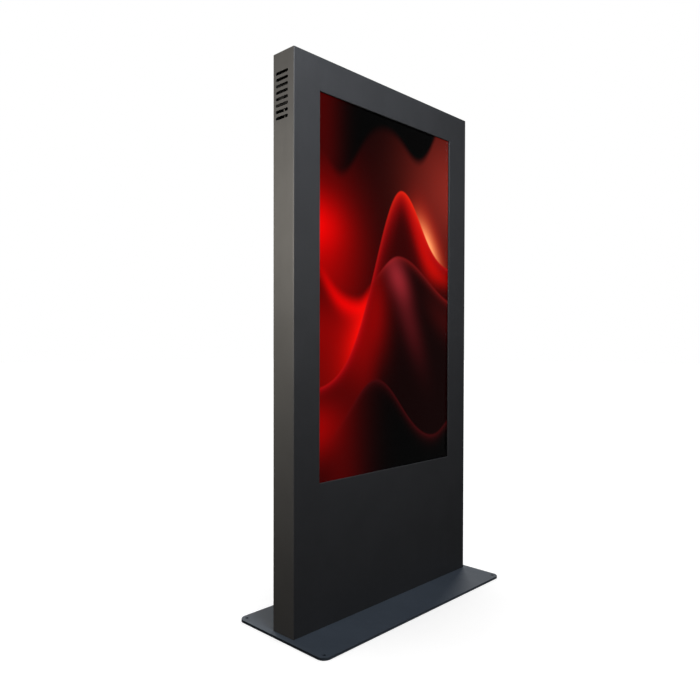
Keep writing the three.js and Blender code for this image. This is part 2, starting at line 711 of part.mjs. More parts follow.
// A circuit board on four posts, with what stands on it: blocks given as [x, z, width, height, depth].
function circuitBoard([x0, x1], [z0, z1], blocks, cans = []) {
  const back = MOUNT_FACE + BOARD.standoff;
  const face = back + BOARD.thickness;
  const middle = [(x0 + x1) / 2, (z0 + z1) / 2];
  const posts = CORNERS.map(([signX, signZ]) => {
    const x = middle[0] + signX * ((x1 - x0) / 2 - 6);
    const z = middle[1] + signZ * ((z1 - z0) / 2 - 6);
    return rod(3, ALONG_Y, MOUNT_FACE, face + 1.5, x, z, 6);
  });
  const lumps = blocks.map(([x, z, width, height, depth]) =>
    block(about(x, width), [face - 0.5, face + depth], about(z, height)),
  );
  const drums = cans.map(([x, z, radius, depth]) => rod(radius, ALONG_Y, face - 0.5, face + depth, x, z, 12));
  return joined([block([x0, x1], [back, face], [z0, z1]), ...posts, ...lumps, ...drums]);
}

const MAINBOARD = { x: [-215, -45], z: [850, 990] };
const POWER_BOARD = { x: [40, 215], z: [850, 1040] };
const TOUCH_BOARD = { x: [-55, 35], z: [478, 516] };

function displayMainboard() {
  const fins = [];
  for (let i = 0; i < 7; i++) {
    fins.push([-150 + i * 6, 925, 2, 42, 11]);
  }
  const heatSink = [-132, 925, 42, 42, 3];
  const connectors = [
    [-130, 855, 24, 12, 9],
    [-130, 984, 14, 10, 8],
    [-80, 858, 30, 14, 7],
    [-190, 900, 16, 60, 6],
  ];
  const chips = [[-80, 930, 26, 26, 2.5], [-80, 890, 18, 12, 2]];
  return circuitBoard(MAINBOARD.x, MAINBOARD.z, [heatSink, ...fins, ...connectors, ...chips]);
}

function displayPowerBoard() {
  const transformers = [[90, 930, 34, 30, 13], [160, 950, 30, 26, 12]];
  const connectors = [[150, 856, 26, 14, 9], [150, 1033, 14, 10, 8], [60, 1020, 24, 20, 9]];
  const heatSinks = [[200, 920, 5, 90, 14], [120, 985, 70, 5, 14]];
  const cans = [[75, 890, 11, 13], [105, 890, 11, 13], [190, 1010, 8, 12], [170, 1010, 8, 12]];
  return circuitBoard(POWER_BOARD.x, POWER_BOARD.z, [...transformers, ...connectors, ...heatSinks], cans);
}

function touchControllerBoard() {
  const parts = [[-48, 497, 10, 16, 8], [-12, 497, 12, 12, 2], [20, 497, 8, 24, 5]];
  return circuitBoard(TOUCH_BOARD.x, TOUCH_BOARD.z, parts);
}

function addDisplay() {
  add("glass_gasket", glassGasket(), FOAM);
  add("touch_glass", touchGlass(), CLEAR_GLASS);
  const cell = block(about(0, PANEL.width), [PANEL_FRONT, PANEL_BACK], about(SCREEN_MIDDLE, PANEL.height));
  add("lcd_panel", cell, PICTURE);
  add("diffuser_plate", diffuserPlate(), WHITE_PLASTIC);
  add("backlight_tray", backlightTray(), ALUMINIUM);
  for (const { name, sign } of SIDES) {
    add(`display_rail_${name}`, displayRail(sign * RAIL.x), BARE_STEEL);
  }
  add("cross_member_lower", crossMember(MEMBER.low), BARE_STEEL);
  add("cross_member_upper", crossMember(MEMBER.high), BARE_STEEL);
  add("display_mainboard", displayMainboard(), CIRCUIT_BOARD);
  add("display_power_board", displayPowerBoard(), CIRCUIT_BOARD);
  add("touch_controller_board", touchControllerBoard(), CIRCUIT_BOARD);
}

// ---- Equipment under the display ----

// A wide bracket whose two wings reach forward to the front sheet.
function equipmentBracket() {
  const half = BRACKET.width / 2;
  const wall = BRACKET.sheet;
  const reach = FRONT + BODY.sheet + GAP;
  const section = polygon([
    [-half, reach],
    [-half + wall, reach],
    [-half + wall, BRACKET.back - wall],
    [half - wall, BRACKET.back - wall],
    [half - wall, reach],
    [half, reach],
    [half, BRACKET.back],
    [-half, BRACKET.back],
  ]);
  return extrude(section, ALONG_Z, BRACKET.low, BRACKET.high);
}

// A thin-walled case with a row of cooling slots through its back.
function slottedCase(part, slots, slotWidth, slotPitch) {
  const front = ON_BRACKET;
  const back = ON_BRACKET + part.depth;
  const outside = extrude(roundedRectangle(part.width, part.height, 3, part.x, part.z), ALONG_Y, front, back);
  const inside = block(
    about(part.x, part.width - 2 * part.wall),
    [front + part.wall, back - part.wall],
    about(part.z, part.height - 2 * part.wall),
  );
  const cutters = [inside];
  for (let i = 0; i < slots; i++) {
    const height = part.z + (i - (slots - 1) / 2) * slotPitch;
    cutters.push(block(about(part.x, slotWidth), [back - 3, back + 1], about(height, 3)));
  }
  return cut(outside, cutters);
}

const PLAYER_TOP = PLAYER.z + PLAYER.height / 2;
const SUPPLY_TOP = SUPPLY.z + SUPPLY.height / 2;
const SUPPLY_BOTTOM = SUPPLY.z - SUPPLY.height / 2;
const PORT_Y = 0;

function mediaPlayer() {
  const ports = [[-150, 15], [-110, 14], [-190, 12]].map(([x, width]) =>
    block(about(x, width), about(PORT_Y, 6), [PLAYER_TOP - 0.9, PLAYER_TOP + 1]),
  );
  return cut(slottedCase(PLAYER, 9, 110, 9), ports);
}

function powerSupply() {
  const stripHeights = [SUPPLY_BOTTOM - 12, SUPPLY_BOTTOM + 1];
  const strip = block(about(SUPPLY.x, 96), [ON_BRACKET + 3, ON_BRACKET + 22], stripHeights);
  const fences = [];
  for (let i = 0; i < 7; i++) {
    const x = SUPPLY.x + (i - 3) * 15;
    fences.push(block(about(x, 2), [ON_BRACKET + 3, ON_BRACKET + 26], stripHeights));
  }
  return joined([slottedCase(SUPPLY, 12, 80, 9), strip, ...fences]);
}

// ---- Fans ----

// A fan about its shaft, which points inward along +X from the frame's outer face at zero.
function fanFrame() {
  const outline = roundedRectangle(FAN.size, FAN.size, FAN.corner);
  outline.holes.push(circle(FAN.bore, 0, 0, 28));
  for (const [signY, signZ] of CORNERS) {
    outline.holes.push(circle(2.1, signY * FAN.fixing, signZ * FAN.fixing, 8));
  }
  const mountFrom = FAN.depth - 2.5;
  const struts = [45, 135].map((angle) => {
    const bar = new THREE.BoxGeometry(2.5, 3, 2 * FAN.bore + 2).rotateX(THREE.MathUtils.degToRad(angle));
    return solid(bar.translate(FAN.depth - 1.25, 0, 0));
  });
  const mount = rod(FAN.hub + 1, ALONG_X, mountFrom, FAN.depth);
  return joined([extrude(outline, ALONG_X, 0, FAN.depth), mount, ...struts]);
}

function fanRotor() {
  const from = 1.2;
  const to = FAN.depth - 3;
  const blades = [];
  for (let i = 0; i < FAN.blades; i++) {
    const root = FAN.hub - 1;
    const blade = new THREE.BoxGeometry(12, 1.4, FAN.bladeTip - root);
    blade.rotateZ(THREE.MathUtils.degToRad(42));
    blade.translate((from + to) / 2, 0, (root + FAN.bladeTip) / 2);
    blades.push(solid(blade.rotateX((2 * Math.PI * i) / FAN.blades)));
  }
  return joined([rod(FAN.hub, ALONG_X, from, to), ...blades]);
}

function addFans() {
  const reach = HALF_WIDTH - BODY.sheet - GAP;
  for (const { name, sign } of SIDES) {
    const turn = sign > 0 ? Math.PI : 0;
    const fan = place(sign * reach, VENT_MIDDLE_Y, VENT_MIDDLE_Z, turn);
    add(`fan_frame_${name}`, fanFrame(), BLACK_PLASTIC, fan);
    add(`fan_rotor_${name}`, fanRotor(), BLACK_PLASTIC, fan);
  }
}

// ---- Leads held inside ----
const BOARD_PORT_Y = MOUNT_FACE + BOARD.standoff + BOARD.thickness + 4.5;

function addLeads() {
  const inletBack = ON_ENTRY - INLET.depth - 1 - GAP;
  const supplyFoot = SUPPLY_BOTTOM - 12 - GAP;
  const boardFoot = POWER_BOARD.z[0] - 1 - GAP;
  const leads = {
    mains_lead: [
      4,
      [INLET.x, inletBack, INLET.z],
      [INLET.x, 20, INLET.z],
      [-276, 4, 104],
      [-200, -3, 128],
      [-60, -5, 146],
      [80, -6, 158],
      [128, -6, 176],
      [SUPPLY.x, -6, 200],
      [SUPPLY.x, -6, supplyFoot],
    ],
    display_power_lead: [
      3.5,
      [SUPPLY.x, 0, SUPPLY_TOP + GAP],
      [SUPPLY.x, 2, 460],
      [SUPPLY.x, 9, 540],
      [SUPPLY.x, 11, 700],
      [SUPPLY.x, 6, 780],
      [SUPPLY.x, BOARD_PORT_Y, 828],
      [SUPPLY.x, BOARD_PORT_Y, boardFoot],
    ],
    video_lead: [
      3,
      [-150, PORT_Y, PLAYER_TOP + GAP],
      [-150, 2, 440],
      [-148, 9, 540],
      [-140, 11, 700],
      [-132, 6, 780],
      [-130, BOARD_PORT_Y, 828],
      [-130, BOARD_PORT_Y, MAINBOARD.z[0] - 1 - GAP],
    ],
    touch_lead: [
      2.2,
      [-110, PORT_Y, PLAYER_TOP + GAP],
      [-110, 1, 432],
      [-106, -2, 462],
      [-96, -7, 486],
      [-80, BOARD_PORT_Y, 497],
      [-55 - 1 - GAP, BOARD_PORT_Y, 497],
    ],
    player_power_lead: [
      2.5,
      [120, 0, SUPPLY_TOP + GAP],
      [120, 0, 446],
      [92, 9, 464],
      [0, 14, 468],
      [-120, 14, 466],
      [-176, 9, 456],
      [-190, 0, 434],
      [-190, PORT_Y, PLAYER_TOP + GAP],
    ],
    fan_lead_left: [
      1.8,
      [-438, 8, VENT_MIDDLE_Z - FAN.size / 2 - GAP],
      [-436, 9, 1590],
      [-408, 9, 1540],
      [-384, 9, 1480],
      [-372, 9, 1420],
      [-340, 8, 1340],
      [-260, 2, 1220],
      [-180, -3, 1110],
      [-136, BOARD_PORT_Y + 2, 1030],
      [-130, BOARD_PORT_Y, MAINBOARD.z[1] + GAP],
    ],
    fan_lead_right: [
      1.8,
      [438, 8, VENT_MIDDLE_Z - FAN.size / 2 - GAP],
      [436, 9, 1590],
      [408, 9, 1540],
      [384, 9, 1480],
      [372, 9, 1420],
      [345, 8, 1340],
      [270, 2, 1230],
      [190, -3, 1140],
      [155, BOARD_PORT_Y + 2, 1070],
      [150, BOARD_PORT_Y, POWER_BOARD.z[1] + GAP],
    ],
  };
  for (const [name, [radius, ...points]] of Object.entries(leads)) {
    add(name, lead(points, radius), CABLE_SHEATH);
  }
}

addBase();
addEnclosure();
addDoor();
addEntry();
addDisplay();
add("equipment_bracket", equipmentBracket(), BARE_STEEL);
add("media_player", mediaPlayer(), BLACK_PLASTIC);
add("power_supply", powerSupply(), ALUMINIUM);
addFans();
addLeads();

export default kiosk;
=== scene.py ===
"""The looks of a freestanding touchscreen kiosk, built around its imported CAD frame.

Everything is in metres in the frame's own axes: +Z up, the front face towards -Y, and the base plate
standing on z = 0. Pieces made here are modelled in place, so their object coordinates are the frame's.
"""

import math
import random

import bpy
from mathutils import Matrix, Vector
from mathutils.bvhtree import BVHTree


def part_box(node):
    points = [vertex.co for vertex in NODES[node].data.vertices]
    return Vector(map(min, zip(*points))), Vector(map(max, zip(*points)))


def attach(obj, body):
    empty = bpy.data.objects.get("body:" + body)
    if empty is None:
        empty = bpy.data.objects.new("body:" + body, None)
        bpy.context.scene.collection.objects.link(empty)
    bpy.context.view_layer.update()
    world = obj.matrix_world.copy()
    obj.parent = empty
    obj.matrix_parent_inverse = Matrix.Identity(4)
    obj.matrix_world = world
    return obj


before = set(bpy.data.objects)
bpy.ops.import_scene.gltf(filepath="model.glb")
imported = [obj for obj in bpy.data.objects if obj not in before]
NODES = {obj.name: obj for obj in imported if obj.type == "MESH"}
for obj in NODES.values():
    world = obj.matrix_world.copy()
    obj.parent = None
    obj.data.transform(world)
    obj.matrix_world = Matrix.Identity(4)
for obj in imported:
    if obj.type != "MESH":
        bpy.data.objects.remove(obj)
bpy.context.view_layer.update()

MM = 0.001
CABINET, DOOR = "cabinet", "rear_door_assembly"
BACKWARDS = (0, 1, 0)


# ------------------------------------------------------------
# Fields and looks: materials are written as arithmetic on fields, which become node trees.


class Field:
    """A number that varies over a surface."""

    def __init__(self, look, socket):
        self.look = look
        self.socket = socket

    def math(self, operation, *others):
        node = self.look.node("ShaderNodeMath", operation=operation)
        for slot, value in zip(node.inputs, (self, *others)):
            self.look.feed(slot, value)
        return Field(self.look, node.outputs[0])

    def __add__(self, other):
        return self.math("ADD", other)

    __radd__ = __add__

    def __sub__(self, other):
        return self.math("SUBTRACT", other)

    def __rsub__(self, other):
        return self.math("MULTIPLY", -1.0).math("ADD", other)

    def __mul__(self, other):
        return self.math("MULTIPLY", other)

    __rmul__ = __mul__

    def __truediv__(self, other):
        return self.math("DIVIDE", other)

    def __neg__(self):
        return self.math("MULTIPLY", -1.0)

    def exp(self):
        return self.math("EXPONENT")

    def abs(self):
        return self.math("ABSOLUTE")

    def root(self):
        return self.math("SQRT")

    def above(self, low):
        return self.math("MAXIMUM", low)

    def below(self, high):
        return self.math("MINIMUM", high)

    def step(self, low, high):
        """Rises smoothly from 0 at low to 1 at high; low may be the larger."""
        node = self.look.node("ShaderNodeMapRange", interpolation_type="SMOOTHSTEP", clamp=True)
        flip = low > high
        self.look.feed(node.inputs["Value"], self)
        node.inputs["From Min"].default_value = min(low, high)
        node.inputs["From Max"].default_value = max(low, high)
        node.inputs["To Min"].default_value = 1.0 if flip else 0.0
        node.inputs["To Max"].default_value = 0.0 if flip else 1.0
        return Field(self.look, node.outputs[0])


class Look:
    """A material with one Principled shader, whose inputs are constants or fields."""

    def __init__(self, name, **constants):
        self.material = bpy.data.materials.new(name)
        self.material.use_nodes = True
        self.tree = self.material.node_tree
        self.tree.nodes.clear()
        self.shader = self.node("ShaderNodeBsdfPrincipled")
        output = self.node("ShaderNodeOutputMaterial")
        self.tree.links.new(self.shader.outputs["BSDF"], output.inputs["Surface"])
        for key, value in constants.items():
            self.shader.inputs[key.replace("_", " ")].default_value = value
        self.place = self.node("ShaderNodeTexCoord").outputs["Object"]
        axes = self.node("ShaderNodeSeparateXYZ")
        self.tree.links.new(self.place, axes.inputs[0])
        self.x, self.y, self.z = (Field(self, out) for out in axes.outputs)

    def node(self, kind, **settings):
        node = self.tree.nodes.new(kind)
        for key, value in settings.items():
            setattr(node, key, value)
        return node

    def feed(self, slot, value):
        if isinstance(value, Field):
            self.tree.links.new(value.socket, slot)
        else:
            slot.default_value = value

    def scaled(self, scale, stretch):
        node = self.node("ShaderNodeVectorMath", operation="MULTIPLY")
        self.tree.links.new(self.place, node.inputs[0])
        node.inputs[1].default_value = [scale * s for s in stretch]
        return node.outputs[0]

    def noise(self, scale, detail=2.0, roughness=0.5, stretch=(1, 1, 1), distortion=0.0):
        """Noise from about 0.3 to 0.7, with `scale` features to the metre."""
        node = self.node("ShaderNodeTexNoise")
        self.tree.links.new(self.scaled(scale, stretch), node.inputs["Vector"])
        node.inputs["Scale"].default_value = 1.0
        node.inputs["Detail"].default_value = detail
        node.inputs["Roughness"].default_value = roughness
        node.inputs["Distortion"].default_value = distortion
        return Field(self, node.outputs[0])

    def cells(self, scale, feature="F1", output="Distance", stretch=(1, 1, 1), randomness=1.0):
        node = self.node("ShaderNodeTexVoronoi", feature=feature)
        self.tree.links.new(self.scaled(scale, stretch), node.inputs["Vector"])
        node.inputs["Scale"].default_value = 1.0
        node.inputs["Randomness"].default_value = randomness
        return Field(self, node.outputs[output])

    def edges(self, radius):
        """1 on edges, over about `radius`, and 0 on flat stretches."""
        bevel = self.node("ShaderNodeBevel", samples=6)
        bevel.inputs["Radius"].default_value = radius
        geometry = self.node("ShaderNodeNewGeometry")
        dot = self.node("ShaderNodeVectorMath", operation="DOT_PRODUCT")
        self.tree.links.new(bevel.outputs[0], dot.inputs[0])
        self.tree.links.new(geometry.outputs["Normal"], dot.inputs[1])
        return Field(self, dot.outputs["Value"]).step(0.995, 0.86)

    def blend(self, factor, first, second):
        """The first colour where factor is 0, the second where it is 1."""
        node = self.node("ShaderNodeMix", data_type="RGBA", clamp_factor=True)
        for slot, value in zip((node.inputs[0], node.inputs[6], node.inputs[7]), (factor, first, second)):
            self.feed(slot, value if isinstance(value, (Field, float)) else (*value, 1.0))
        return Field(self, node.outputs[2])

    def colour(self, red, green, blue):
        node = self.node("ShaderNodeCombineColor")
        for slot, value in zip(node.inputs, (red, green, blue)):
            self.feed(slot, value)
        return Field(self, node.outputs[0])

    def set(self, name, value):
        self.feed(self.shader.inputs[name], value)

    def bump(self, height, depth):
        """Relief from a field whose unit is `depth` metres high."""
        node = self.node("ShaderNodeBump")
        node.inputs["Strength"].default_value = 1.0
        node.inputs["Distance"].default_value = depth
        self.feed(node.inputs["Height"], height)
        self.tree.links.new(node.outputs[0], self.shader.inputs["Normal"])
        return self.material


# ------------------------------------------------------------
# Materials


def powder_coat(name, shade, worn):
    """A textured powder coat: a fine grain, faint clouding, scuffs, and edges rubbed a little paler."""
    look = Look(name, Specular_IOR_Level=0.42, IOR=1.48)
    grain = look.noise(900, detail=3, roughness=0.6)
    cloud = look.noise(7, detail=4, roughness=0.6)
    streak = look.noise(30, detail=3, roughness=0.6, stretch=(1, 1, 0.12))
    scuff = look.noise(46, detail=6, roughness=0.75, distortion=0.6).step(0.63, 0.72)
    rubbed = look.edges(1.6 * MM) * look.noise(120, detail=3).step(0.35, 0.62)
    darker = [c * 0.95 for c in shade]
    paler = [c * 1.05 for c in shade]
    tone = look.blend(cloud.step(0.3, 0.7), darker, paler)
    tone = look.blend(scuff * 0.16, tone, [c * 2.2 for c in shade])
    tone = look.blend(rubbed * 0.5, tone, worn)
    look.set("Base Color", tone)
    look.set("Roughness", 0.47 + (grain - 0.5) * 0.3 + (streak - 0.5) * 0.16 - scuff * 0.06)
    return look.bump(grain + cloud * 0.4, 0.22 * MM)


def foam():
    look = Look("foam", Roughness=0.95, Specular_IOR_Level=0.2)
    pores = look.cells(900, feature="SMOOTH_F1")
    look.set("Base Color", look.blend(pores.step(0.1, 0.6), (0.006, 0.006, 0.006), (0.03, 0.03, 0.032)))
    return look.bump(pores, 0.25 * MM)


def metal(name, shade, rough, streaks=(1, 1, 1), spangle=0.0, tarnish=None, relief=0.05):
    """Bare metal: streaked or clouded polish, optional zinc spangle, and an optional tarnish colour."""
    look = Look(name, Metallic=1.0)
    cloud = look.noise(60, detail=4, roughness=0.6)
    line = look.noise(700, stretch=streaks)
    tone = look.blend(cloud.step(0.3, 0.7), [c * 0.82 for c in shade], shade)
    roughness = rough + (line - 0.5) * 0.3 + (cloud - 0.5) * 0.2
    if spangle:
        crystal = look.cells(110, output="Color")
        tone = look.blend(crystal * spangle, tone, [min(1.0, c * 1.5) for c in shade])
        roughness = roughness + (crystal - 0.5) * 0.12
    if tarnish:
        dulled = look.noise(35, detail=5, roughness=0.7).step(0.48, 0.7)
        tone = look.blend(dulled * 0.6, tone, tarnish)
        roughness = roughness + dulled * 0.2
    look.set("Base Color", tone)
    look.set("Roughness", roughness)
    return look.bump(line + cloud * 0.6, relief * MM)


def plastic(name, shade, rough=0.45, grain=0.12, shine=0.5):
    """Moulded plastic with a spark-eroded grain and a slightly uneven tone."""
    speckle = 0.15
    look = Look(name, Specular_IOR_Level=shine)
    texture = look.noise(1600)
    cloud = look.noise(25, detail=3)
    edge = look.edges(0.6 * MM)
    darker = [c * (1 - speckle) for c in shade]
    paler = [c * (1 + speckle) for c in shade]
    tone = look.blend(cloud.step(0.3, 0.7), darker, paler)
    tone = look.blend(edge * 0.25, tone, [min(1.0, c * 1.8 + 0.01) for c in shade])
    look.set("Base Color", tone)
    look.set("Roughness", rough + (texture - 0.5) * 0.25 + (cloud - 0.5) * 0.15)
    return look.bump(texture, grain * MM)


def cover_glass():
    """Clear glass with a greenish body and the faint traces of wiping and of fingers."""
    look = Look("touch_glass", Transmission_Weight=1.0, IOR=1.3, Specular_IOR_Level=0.3)
    wipe = look.noise(9, detail=5, roughness=0.7, stretch=(1, 1, 0.5), distortion=1.2)
    finger = look.noise(160).step(0.45, 0.75) * look.noise(14).step(0.55, 0.75)
    look.set("Roughness", wipe.step(0.35, 0.75) * 0.012 + finger * 0.03)
    look.set("Base Color", look.blend(wipe.step(0.3, 0.8), (0.985, 1.0, 0.992), (0.95, 0.965, 0.96)))
    return look.material


def diffuser():
    look = Look("diffuser_white", Specular_IOR_Level=0.4)
    prism = look.noise(500)
    yellowed = look.noise(4, detail=3)
    look.set("Base Color", look.blend(yellowed.step(0.35, 0.7), (0.74, 0.75, 0.74), (0.7, 0.69, 0.64)))
    look.set("Roughness", 0.5 + (prism - 0.5) * 0.2)
    return look.bump(prism, 0.05 * MM)


def sheath(name, shade):
    """Cable sheath: matt, with patches of dust and a fine uneven grain."""
    look = Look(name, Specular_IOR_Level=0.35)
    dust = look.noise(90, detail=4, roughness=0.7)
    rib = look.noise(1200)
    look.set("Base Color", look.blend(dust.step(0.42, 0.75), shade, [c * 2.2 + 0.012 for c in shade]))
    look.set("Roughness", 0.55 + (dust - 0.5) * 0.3)
    return look.bump(rib + dust, 0.12 * MM)


def brushed_case(name, shade):
    """Anodised aluminium brushed across, with paler rubbed edges."""
    look = Look(name, Metallic=0.85)
    line = look.noise(2200, stretch=(0.03, 1, 1))
    cloud = look.noise(18, detail=3)
    tone = look.blend(cloud.step(0.3, 0.7), [c * 0.8 for c in shade], [c * 1.2 for c in shade])
    tone = look.blend(look.edges(0.8 * MM) * 0.5, tone, (0.45, 0.45, 0.46))
    look.set("Base Color", tone)
    look.set("Roughness", 0.38 + (line - 0.5) * 0.3 + (cloud - 0.5) * 0.15)
    return look.bump(line, 0.03 * MM)


def within(look, x, z, half_width, half_height):
    """1 inside an upright rectangle, 0 outside it."""
    softness = 0.2 * MM
    across = (look.x - x).abs().step(half_width + softness, half_width)
    up = (look.z - z).abs().step(half_height + softness, half_height)
    return across * up


def within_any(look, parts):
    """1 on any of these parts, each given in millimetres as middle x and z, width and height."""
    margin = 0.5 * MM
    return sum(within(look, x * MM, z * MM, w * MM / 2 + margin, h * MM / 2 + margin) for x, z, w, h in parts)


# What stands on the circuit boards, in millimetres: middle x and z, width and height.
METAL_PARTS = [
    (-132, 925, 42, 42), (200, 920, 5, 90), (120, 985, 70, 5),
    (75, 890, 22, 22), (105, 890, 22, 22), (190, 1010, 16, 16), (170, 1010, 16, 16),
]
PALE_PARTS = [
    (-130, 855, 24, 12), (-130, 984, 14, 10), (150, 856, 26, 14), (150, 1033, 14, 10),
    (60, 1020, 24, 20), (-48, 497, 10, 16),
]
WOUND_PARTS = [(90, 930, 34, 30), (160, 950, 30, 26)]


def circuit_board(face):
    """Green solder mask with traces and tinned pads; what stands on `face` is black, pale, wound or metal."""
    look = Look("circuit_board", Specular_IOR_Level=0.5)
    raised = look.y.step(face + 0.15 * MM, face + 0.3 * MM)
    lane = look.cells(260, stretch=(1, 0, 0.22)).step(0.42, 0.34)
    cross = look.cells(230, stretch=(0.2, 0, 1)).step(0.4, 0.33)
    pads = look.cells(420, stretch=(1, 0, 1), randomness=0.35).step(0.2, 0.14)
    region = look.noise(24, detail=1, stretch=(1, 0, 1))
    mask = look.blend(lane * region.step(0.48, 0.52), (0.012, 0.075, 0.03), (0.02, 0.14, 0.055))
    mask = look.blend(cross * region.step(0.52, 0.48), mask, (0.02, 0.14, 0.055))
    mask = look.blend(pads * region.step(0.55, 0.6), mask, (0.55, 0.53, 0.47))
    metal_parts, pale_parts, wound_parts = (
        within_any(look, parts) for parts in (METAL_PARTS, PALE_PARTS, WOUND_PARTS)
    )
    grain = look.noise(900)
    tone = grain.step(0.35, 0.65)
    part = look.blend(tone, (0.012, 0.012, 0.013), (0.02, 0.02, 0.021))
    part = look.blend(pale_parts, part, look.blend(tone, (0.5, 0.48, 0.42), (0.6, 0.58, 0.52)))
    winding = look.blend(look.y.step(face + 3 * MM, face + 3.3 * MM), (0.02, 0.02, 0.02), (0.4, 0.26, 0.05))
    part = look.blend(wound_parts, part, winding)
    part = look.blend(metal_parts, part, look.blend(tone, (0.5, 0.51, 0.52), (0.62, 0.63, 0.64)))
    look.set("Base Color", look.blend(raised, mask, part))
    look.set("Metallic", raised * metal_parts * 0.95)
    look.set("Roughness", 0.36 + raised * 0.1 + (grain - 0.5) * 0.2)
    return look.bump(lane * 0.5 + pads + grain * 0.3, 0.04 * MM)


def bell(value, centre, width):
    offset = (value - centre) / width
    return (-(offset * offset)).exp()


def mixed(first, second, share):
    """Each of the three colours in `first` where share is 0, and in `second` where it is 1."""
    return [a + (b - a) * share for a, b in zip(first, second)]


def silk(u, v):
    """Red, green and blue of folds of silk, with u across and v down the picture, each from 0 to 1."""
    tall = 1.77
    near, far = u.below(0.6), u.above(0.6)
    near_bell, far_bell = bell(near, 0.6, 0.29), bell(far, 0.6, 0.22)

    # How far down the picture each fold's edge lies.
    veil = bell(u, 0.14, 0.17) * 0.165 + bell(u, 0.73, 0.14) * 0.07 - bell(u, 1.0, 0.12) * 0.12 + 0.015
    crest = 0.98 - near_bell * 0.57 - far_bell * 0.215
    cheek = 0.55 - bell(u, -0.08, 0.16) * 0.13 - bell(u, 0.37, 0.06) * 0.04
    second = 0.53 - bell(u.below(0.58), 0.58, 0.23) * bell(u.above(0.58), 0.58, 0.33) * 0.145
    front = 0.935 - bell(u, 0.4, 0.27) * 0.195 - bell(u, 1.06, 0.12) * 0.06

    # The distance in from each edge, square to the edge.
    fall = (near - 0.6) * near_bell * (1.14 * tall / 0.29**2)
    fall = fall + (far - 0.6) * far_bell * (0.43 * tall / 0.22**2)
    inside = (v - crest) * tall / (fall * fall + 1.0).root()
    under = (v - second) * tall
    below = (v - front) * tall
    beneath = (v - cheek) * tall

    # Behind the great fold: a lit veil at the left, a brown one at the right.
    hot = bell(u, -0.03, 0.17) * bell(v, 0.335, 0.065)
    warm = bell(u, -0.06, 0.3) * bell(v, 0.41, 0.19)
    brown = bell(u, 1.05, 0.36) * bell(v, 0.16, 0.19)
    lit = 1.3 * bell(u - v * 0.35, 0.71, 0.11) * bell(v, 0.34, 0.1) * (inside / 0.09).exp().below(1.0)
    shade = [
        hot * 0.6 + warm * 0.44 + brown * 0.26 + lit * 1.0 + 0.005,
        brown * 0.02 + lit * lit * 0.3,
        brown * 0.013 + lit * lit * 0.11,
    ]
    drape = [bell(u, 0.02, 0.11) * 0.06, 0.0, 0.0]
    shade = mixed(drape, shade, (v - veil).step(-0.006, 0.03))
    brow = bell(beneath, -0.03, 0.06) * bell(u, 0.17, 0.18)
    sheen = (inside / 0.075).exp().below(1.0) * bell(v, 0.6, 0.11)
    cheeks = [sheen * 0.8 + brow * 0.85 + bell(v, 0.6, 0.09) * 0.16 + 0.06, sheen * 0.003, sheen * 0.001]
    shade = mixed(shade, cheeks, beneath.step(-0.08, 0.012) * u.step(0.42, 0.32))

    # The great fold itself: a bright rim, and shadow in its hollow.
    crown = bell(u, 0.66, 0.17)
    rim = (-(inside.above(0.0)) / (crown * 0.03 + 0.016)).exp()
    flank = bell(inside, 0.06, 0.05) * bell(u, 0.86, 0.16)
    low = bell(u, 0.3, 0.2) * bell(v, 0.62, 0.14) * 0.7 + bell(u, -0.05, 0.2) * bell(v, 0.86, 0.07)
    fold = [
        rim * (crown * 0.5 + 0.4) + flank * 0.5 + low * 0.3 + 0.035,
        rim * rim * (crown * 0.016 + 0.004) + flank * 0.002,
        rim * 0.005,
    ]
    shade = mixed(shade, fold, inside.step(-0.006, 0.006))

    # The fold in front of it.
    edge = (-(under.above(0.0)) / 0.018).exp() * u.step(0.3, 0.5)
    bloom = bell(u - v * 0.75, 0.23, 0.075) * (bell(v, 0.445, 0.06) + bell(v, 0.54, 0.13) * 0.3)
    root = bell(u, 0.34, 0.12) * bell(v, 0.55, 0.12)
    gloss = bell(under, 0.13, 0.09) * bell(u, 0.98, 0.16)
    pale = [
        edge * 0.24 + bloom * 0.24 + root * 0.36 + gloss * 0.03 + 0.005,
        edge * 0.008 + bloom * 0.014 + gloss * 0.001,
        edge * 0.008 + bloom * 0.02 + gloss * 0.001,
    ]
    shade = mixed(shade, pale, under.step(-0.004, 0.012) * u.step(0.3, 0.46))

    # The lowest fold.
    seam = (-(below.above(0.0)) / 0.018).exp()
    floor = [seam * 0.07 + bell(u, 0.0, 0.22) * 0.15, seam * 0.003, seam * 0.004]
    return mixed(shade, floor, below.step(-0.004, 0.012) * u.step(0.0, 0.3))


def screen_picture():
    look = Look("screen_picture", Roughness=0.4, Specular_IOR_Level=0.0, Base_Color=(0.0, 0.0, 0.0, 1.0))
    low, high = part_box("lcd_panel")
    edge = 6.5 * MM
    across = (look.x - (low.x + edge)) / (high.x - low.x - 2 * edge)
    down = ((high.z - edge) - look.z) / (high.z - low.z - 2 * edge)
    look.set("Emission Color", look.colour(*silk(across, down)))
    look.shader.inputs["Emission Strength"].default_value = 1.0
    return look.material


# ------------------------------------------------------------
# Camera, light and floor, and how a piece is shaded and dressed


def make_camera():
    data = bpy.data.cameras.new("camera")
    data.sensor_width = 36
    data.lens = 33.276
    data.shift_x = 0.00363
    data.shift_y = 0.00716
    data.clip_start = 0.01
    camera = bpy.data.objects.new("camera", data)
    bpy.context.scene.collection.objects.link(camera)
    turn = Matrix.Rotation(math.radians(-45.966), 4, "Z")
    tilt = Matrix.Rotation(math.radians(90 - 0.917), 4, "X")
    roll = Matrix.Rotation(math.radians(0.12), 4, "Z")
    camera.matrix_world = Matrix.Translation((-1.7242, -1.5029, 0.8956)) @ turn @ tilt @ roll
    bpy.context.scene.camera = camera


